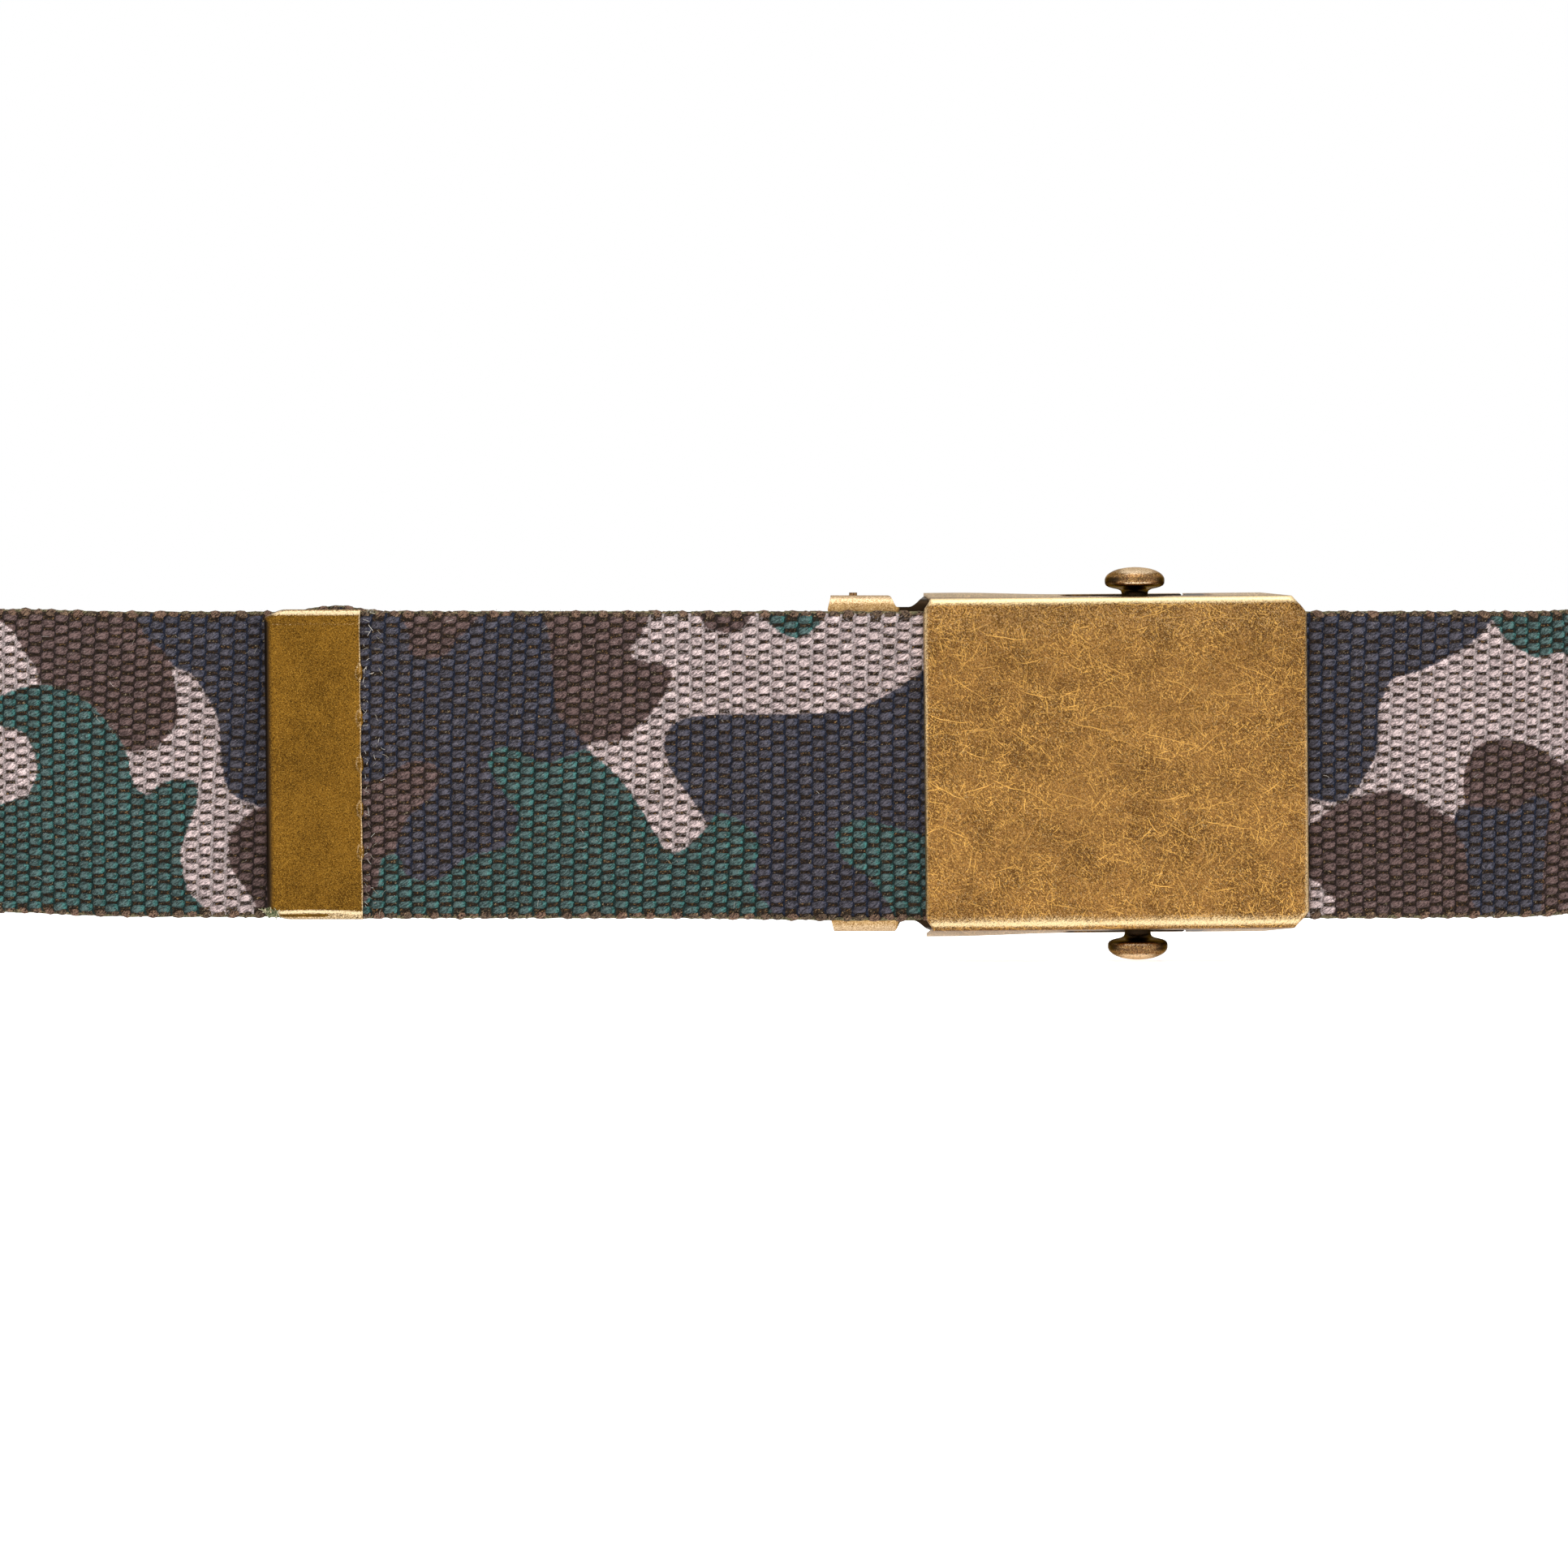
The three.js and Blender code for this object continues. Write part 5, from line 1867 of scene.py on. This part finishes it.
    def bar(self) -> Piece:
        """The locking bar, turned from one rod, with a mushroom knob at each end."""
        rings = [(r, -z) for r, z in self.bar_profile[:0:-1]] + list(self.bar_profile)
        sides, points = self.bar_sides, []
        angles = np.arange(sides) * 2 * pi / sides
        for radius, z in rings:
            points += [(self.bar_x + radius * cos(a), self.bar_depth + radius * sin(a), z)
                       for a in angles]
        faces = tube_faces(len(rings), sides)[1:-1]
        for sign, start in ((-1, 0), (1, (len(rings) - 1) * sides)):
            points.append((self.bar_x, self.bar_depth, sign * self.bar_end))
            faces += [(start + a, start + (a + 1) % sides, len(points) - 1) for a in range(sides)]
        piece = outwards(mesh_from("knobbed_bar", self._placed(np.array(points), True), faces))
        return dressed(piece, self._knob_wear_and_light, self.bar_finish)

    def _knob_wear_and_light(self, spots: Array) -> Array:
        """Painted light on the bar: highlights on its domes over some rubbing and round each rim, shade on
        the rims' outer faces and the knobs' sides, and shade over dark tarnish on the necks and undersides.
        """
        out = np.abs(spots[:, 2] - self.middle[2])
        aside = np.abs(spots[:, 0] - self.middle[0] - self.bar_x)
        # Painted light: highlights strongest and shade weakest midway between a knob's left and right sides
        middle = smooth((3.0 - aside) / 1.5)
        # Painted highlight on the dome, over some rubbing
        dome = 0.8 * smooth((out - 23.15) / 0.5) * (0.4 + 0.6 * middle)
        # Painted highlight: a line round the rim
        rim = 0.95 * np.exp(-((out - 22.36) / 0.17) ** 2) * middle
        # Painted shade: a darker band round the rim's outer face
        rim_shade = 0.4 * np.exp(-((out - 22.8) / 0.3) ** 2)
        # Painted shade on the knobs' left and right sides
        sides = 0.55 * (1 - middle) * smooth((23.8 - out) / 1.2)
        # Painted shade under each knob and on its neck, over dark tarnish
        neck = smooth((22.3 - out) / 0.3)
        return np.maximum(dome, rim) - rim_shade - sides - neck

    def build(self) -> None:
        """Builds the buckle's four pieces."""
        hand_over(self.plate(), Slot.PLATE, "buckle_face")
        hand_over(self.channel(), Slot.CLAMP, "clamp_frame")
        hand_over(self.lever(), Slot.BAR, "clamp_lever")
        hand_over(self.bar(), Slot.BAR, "locking_bar")


@dataclass
class StrapTip:
    """The folded brass tip, closed over the free end and crimped along its open edge."""

    length: float = 11.9
    height: float = 38.2
    set_back: float = 0.36
    rise: float = 0.26
    lean: float = 0.011
    thick: float = 3.0
    sheet: float = 0.42
    corner: float = 1.9
    edge_round: float = 0.5
    edge_steps: tuple[float, ...] = (0.0, 0.06, 0.13, 0.22, 0.32, 0.42, 0.52, 0.62, 0.72, 0.84)
    open_columns: int = 6
    teeth: tuple[float, ...] = (35.7, 30.1, 24.5, 18.9, 13.6)
    dent_half: float = 0.72
    dent: float = 0.42
    dent_reach: float = 0.55
    tooth: float = 0.3
    tooth_reach: float = 0.16
    ripple: float = 0.05
    ring: Point2 = (0.62, 1.1)
    threads: int = 96
    thread_starts: tuple[Point3, Point3] = ((0.1, -0.15, 0.3), (1.9, 0.25, 0.75))
    thread_swings: tuple[Point3, Point3] = ((-0.8, -0.35, -0.3), (0.45, 0.1, 0.7))
    thread_stretch: Point2 = (0.5, 1.25)
    thread_curl: float = 0.12
    thread_radius: Point2 = (0.028, 0.058)
    finish: AntiqueBrass = AntiqueBrass(
        "antique_brass_folded_tip", "#432c0c", "#735019", "#b98a35", bare_and_highlight="#ecd3a9", pitted="#35230c",
        scratches=0.45, glint=0.5, spark="#cf9f4a", cloud=9.0,
        layers=((3.2, 0.035), (2.4, 0.035), (1.7, 0.035), (1.3, 0.035), (1.0, 0.034), (0.8, 0.034)))

    def __post_init__(self) -> None:
        """Places the tip from the frame."""
        low, high = box_mm("strap_tip")
        self.origin = np.array([low[0] - self.set_back, low[1], (low[2] + high[2]) / 2 + self.rise])

    def _rows(self) -> list[Point2]:
        """Rows from the lower end to the upper one: (height over the middle, how far in the sheet draws)."""
        half, turn = self.height / 2, self.edge_round
        end = [(half - turn * (1 - cos(a)), turn * (1 - sin(a)))
               for a in np.radians(np.linspace(0, 90, 5))]
        inner = np.linspace(turn - half, half - turn, 193)[1:-1]
        return [(-z, inset) for z, inset in end] + [(z, 0.0) for z in inner] + end[::-1]

    def _row(self, z: float, inset: float) -> Array:
        """One row of the tip, from its front edge round the fold to its back edge, with the crimper's bite.

        Args:
            z: The row's height over the middle.
            inset: How far in the sheet draws there.

        Returns:
            The row's points, from the tip's origin.
        """
        turn = self.thick / 2
        depth = turn - inset
        left = 2 * max(0.0, abs(z) - (self.height - self.corner) / 2) + turn
        run = [*(self.length - np.array(self.edge_steps)), *np.linspace(self.length - 1.0, left, 12)]
        fold = np.radians(np.linspace(-90, -270, 15))[1:-1]
        path = [(x, -1.0) for x in run]
        path += [(left + depth * cos(a), sin(a)) for a in fold]
        path += [(x, 1.0) for x in run[::-1]]
        x, side = np.array(path).T
        inside, height = self.length - x, z + self.origin[2]
        press = -self.dent * np.sign(side) * np.exp(-(inside / self.dent_reach) ** 2)
        reach = self.tooth * np.exp(-(inside / self.tooth_reach) ** 2)
        ripple = self.ripple * sin(height * 0.9) * np.exp(-(inside / 2.0) ** 2)
        bite = self._bite(height)
        x = x + bite * reach + ripple - self.lean * z
        return np.column_stack([x, turn + side * depth + bite * press, np.full(len(x), z)])

    def _bite(self, height: Array | float) -> Array:
        """How deep the crimping tool bit at a height, from 0 to 1."""
        return sum(np.exp(-np.abs((height - tooth) / self.dent_half) ** 3) for tooth in self.teeth)

    def _close(self, piece: Piece, rows: int, columns: int) -> None:
        """Closes the tip's lower and upper ends with folded-over strips.

        Args:
            piece: The open tip.
            rows: Rows of its grid.
            columns: Columns of its grid.
        """
        with edited(piece) as shape:
            shape.verts.ensure_lookup_table()
            for start in (0, (rows - 1) * columns):
                last = start + columns - 1
                for a in range(columns // 2 - self.open_columns):
                    corners = (start + a, start + a + 1, last - a - 1, last - a)
                    shape.faces.new([shape.verts[i] for i in corners])
            bmesh.ops.recalc_face_normals(shape, faces=shape.faces)
        middle = np.mean([v.co.x for v in piece.data.vertices])
        front = min(piece.data.polygons, key=lambda f: f.center.y + abs(f.center.x - middle))
        if front.normal.y > 0:
            piece.data.flip_normals()

    def _tip_wear_and_light(self, spots: Array) -> Array:
        """The tip's worn places and painted light: painted highlights on its folds and round the tooth
        dents, a paler edge, lips and line, painted shade on its rounded left end, on the teeth and in a
        slit, and a darker crease.
        """
        x, _, z = (spots - self.origin).T
        x = x + self.lean * z
        upper = z > 0
        past_edge = x - self.length
        in_by = self.height / 2 - np.abs(z)
        edge = 0.65 * band(past_edge, -0.05, 0.2)
        from_tooth = np.min([np.abs(spots[:, 2] - tooth) for tooth in self.teeth], axis=0)
        radius = np.hypot(past_edge / self.ring[0], from_tooth / self.ring[1])
        # Painted highlight round each tooth's dent
        oval = 0.42 * band(radius, 1.0, 0.35) + 0.22 * smooth((1 - radius) / 0.2)
        arch = 0.18 * np.sin(np.clip(x / self.length, 0, 1) * pi)
        # Painted highlight along the upper and lower folds
        fold = 0.95 * np.where(upper, band(in_by, 0.42, 0.42, 1.2), band(in_by, 0.78 + arch, 0.36, 1.2))
        lip = np.where(upper, 0.5 * smooth(1 - in_by / 0.3), 0.6 * smooth((0.72 - in_by) / 0.1))
        line = 0.35 * np.exp(-((self.height / 2 - 1.8 - z) / 0.16) ** 2)
        bright = np.maximum.reduce([edge, oval, fold, lip, line])
        # Painted shade on the rounded left end
        left_end = smooth(1 - x / 1.4) * smooth((in_by - 0.9) / 0.8)
        # Painted shade on the teeth past the edge
        bitten = 0.8 * self._bite(spots[:, 2]) * smooth((past_edge - 0.02) / 0.12)
        crease = ~upper * band(in_by, 0.45, 0.16) * smooth((x - 1.5) / 0.4) * smooth((7.4 - x) / 0.6)
        # Painted shade: a dark slit near the upper left corner
        slit = upper * band(in_by + x / 2, 0.95, 0.17, 1.2) * smooth((x - 0.7) / 0.2)
        slit *= smooth((2.0 - x) / 0.2)
        dark = np.maximum.reduce([left_end, bitten, crease, slit])
        return np.where((dark > 0.3) | (bright <= 0.02), -dark, bright)

    def shell(self) -> Piece:
        """The folded sheet, closed at both ends."""
        rows = [self._row(*row) for row in self._rows()]
        shape = np.array(rows).reshape(-1, 3) + self.origin
        faces = [face[::-1] for face in grid_faces(len(rows), len(rows[0]))]
        piece = mesh_from("folded_tip", shape, faces)
        self._close(piece, len(rows), len(rows[0]))
        return piece

    def fray(self) -> Piece:
        """A tuft of olive and straw threads that sticks out of the tip's lower folded corner."""
        rng = np.random.default_rng(SEED + 9)
        corner = self.origin - (0.15, 0, self.height / 2)
        share = np.linspace(0, 1, 6)[:, None]
        shapes, tints = [], []
        for _ in range(self.threads):
            start = rng.uniform(*self.thread_starts)
            start[2] += max(0.0, 1.1 - start[0]) * 0.5
            swing = rng.uniform(*self.thread_swings)
            curl = np.sin(share * pi) * rng.normal(0, self.thread_curl, 3)
            path = start + swing * rng.uniform(*self.thread_stretch) * share + curl + corner
            path[:, 2] = np.maximum(path[:, 2], 0.1)
            shapes.append(tube(path, np.full(6, rng.uniform(*self.thread_radius)), 5))
            tints.append(rng.uniform())
        piece = joined("frayed_threads", shapes, {"tint": tints}, MM)
        piece.data.materials.append(PrintedCotton().fray())
        return piece

    def build(self) -> None:
        """Builds the tip and its frayed threads and hands them over."""
        piece = self.shell()
        hand_over(self.fray(), Slot.WEBBING, "webbing_strap")
        thickened(piece, self.sheet)
        cut(piece, [], 0.06)
        hand_over(dressed(piece, self._tip_wear_and_light, self.finish), Slot.TIP, "strap_tip")


# Surroundings


@dataclass(frozen=True)
class SoftLight:
    """A square soft light: its place and the height it aims at, from the floor below the buckle's face."""

    name: str
    spot: Point3
    aim_z: float
    size: float
    power: float


@dataclass
class Studio:
    """Plain pale floor, white surroundings, soft lights, and the camera at the photograph's angle."""

    frame_width: float = 193.2
    distance: float = 650.0
    aim_z: float = 22.0
    height: float = 38.0
    sensor: float = 36.0
    clip: Point2 = (10.0, 20000.0)
    floor_half: float = 4000.0
    floor_below: float = 0.02
    floor_glow: float = 0.68
    soft_lights: tuple[SoftLight, ...] = (
        SoftLight("top_light", spot=(20.0, -150.0, 620.0), aim_z=30.0, size=500.0, power=1.6),
        SoftLight("front_light", spot=(-350.0, -750.0, 350.0), aim_z=20.0, size=700.0, power=0.8),
    )

    def floor(self) -> None:
        """A white backlit acrylic floor, matt and plain."""
        side, z = self.floor_half, -self.floor_below
        corners = np.array([(-side, -side, z), (side, -side, z), (side, side, z), (-side, side, z)])
        floor = mesh_from("floor", corners, [(0, 1, 2, 3)])
        shade = Shade("white_acrylic_floor")
        for name, value in (
            ("Base Color", linear("#f4f4f4")), ("Roughness", 0.9),
            ("Emission Color", (1, 1, 1, 1)), ("Emission Strength", self.floor_glow),
        ):
            shade.shader.inputs[name].default_value = value
        floor.data.materials.append(shade.material)

    def lights(self) -> None:
        """White surroundings, one broad light above the front and a weaker one before it."""
        world = bpy.data.worlds.new("white_surroundings")
        bpy.context.scene.world = world
        world.use_nodes = True
        background = world.node_tree.nodes["Background"].inputs
        background["Color"].default_value = (1, 1, 1, 1)
        background["Strength"].default_value = 1.0
        below = np.array((0.0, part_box("buckle_face")[0][1], 0.0))
        for soft in self.soft_lights:
            light = bpy.data.lights.new(soft.name, "AREA")
            light.size, light.energy = soft.size * MM, soft.power
            lamp = bpy.data.objects.new(soft.name, light)
            bpy.context.scene.collection.objects.link(lamp)
            spot = np.array(soft.spot) * MM
            lamp.location = below + spot
            lamp.rotation_euler = self._facing(np.array((0.0, 0.0, soft.aim_z * MM)) - spot)

    @staticmethod
    def _facing(direction: Array) -> Point3:
        """Euler angles that point -Z along a direction, with +Y as near to up as it goes."""
        x, y, z = direction / np.linalg.norm(direction)
        return math.acos(-z), 0.0, math.atan2(-x, y)

    def camera(self) -> None:
        """The camera, level, as far from the strap as the photograph's narrow view suggests."""
        data = bpy.data.cameras.new("camera")
        data.sensor_width = self.sensor
        data.lens = self.sensor * self.distance / self.frame_width
        data.clip_start, data.clip_end = (reach * MM for reach in self.clip)
        camera = bpy.data.objects.new("camera", data)
        bpy.context.scene.collection.objects.link(camera)
        front_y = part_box("webbing_strap")[0][1]
        camera.location = (0.0, front_y - self.distance * MM, self.height * MM)
        data.shift_y = (self.aim_z - self.height) / self.frame_width
        camera.rotation_euler = (pi / 2, 0.0, 0.0)
        bpy.context.scene.camera = camera

    def build(self) -> None:
        """Sets the stage, with colours shown as they are."""
        self.floor()
        self.lights()
        self.camera()
        bpy.context.scene.view_settings.view_transform = "Standard"


def main() -> None:
    """Builds the belt's parts and the studio, in order."""
    logging.basicConfig(level=logging.INFO, format="%(name)s %(message)s")
    studio = Studio()
    studio.build()
    route = StrapRoute()
    log.info("strap: %.1f mm from end to end", route.length)
    Buckle().build()
    StrapTip().build()
    Webbing(route, CamoPrint(route)).build()


if __name__ == "__main__":
    main()
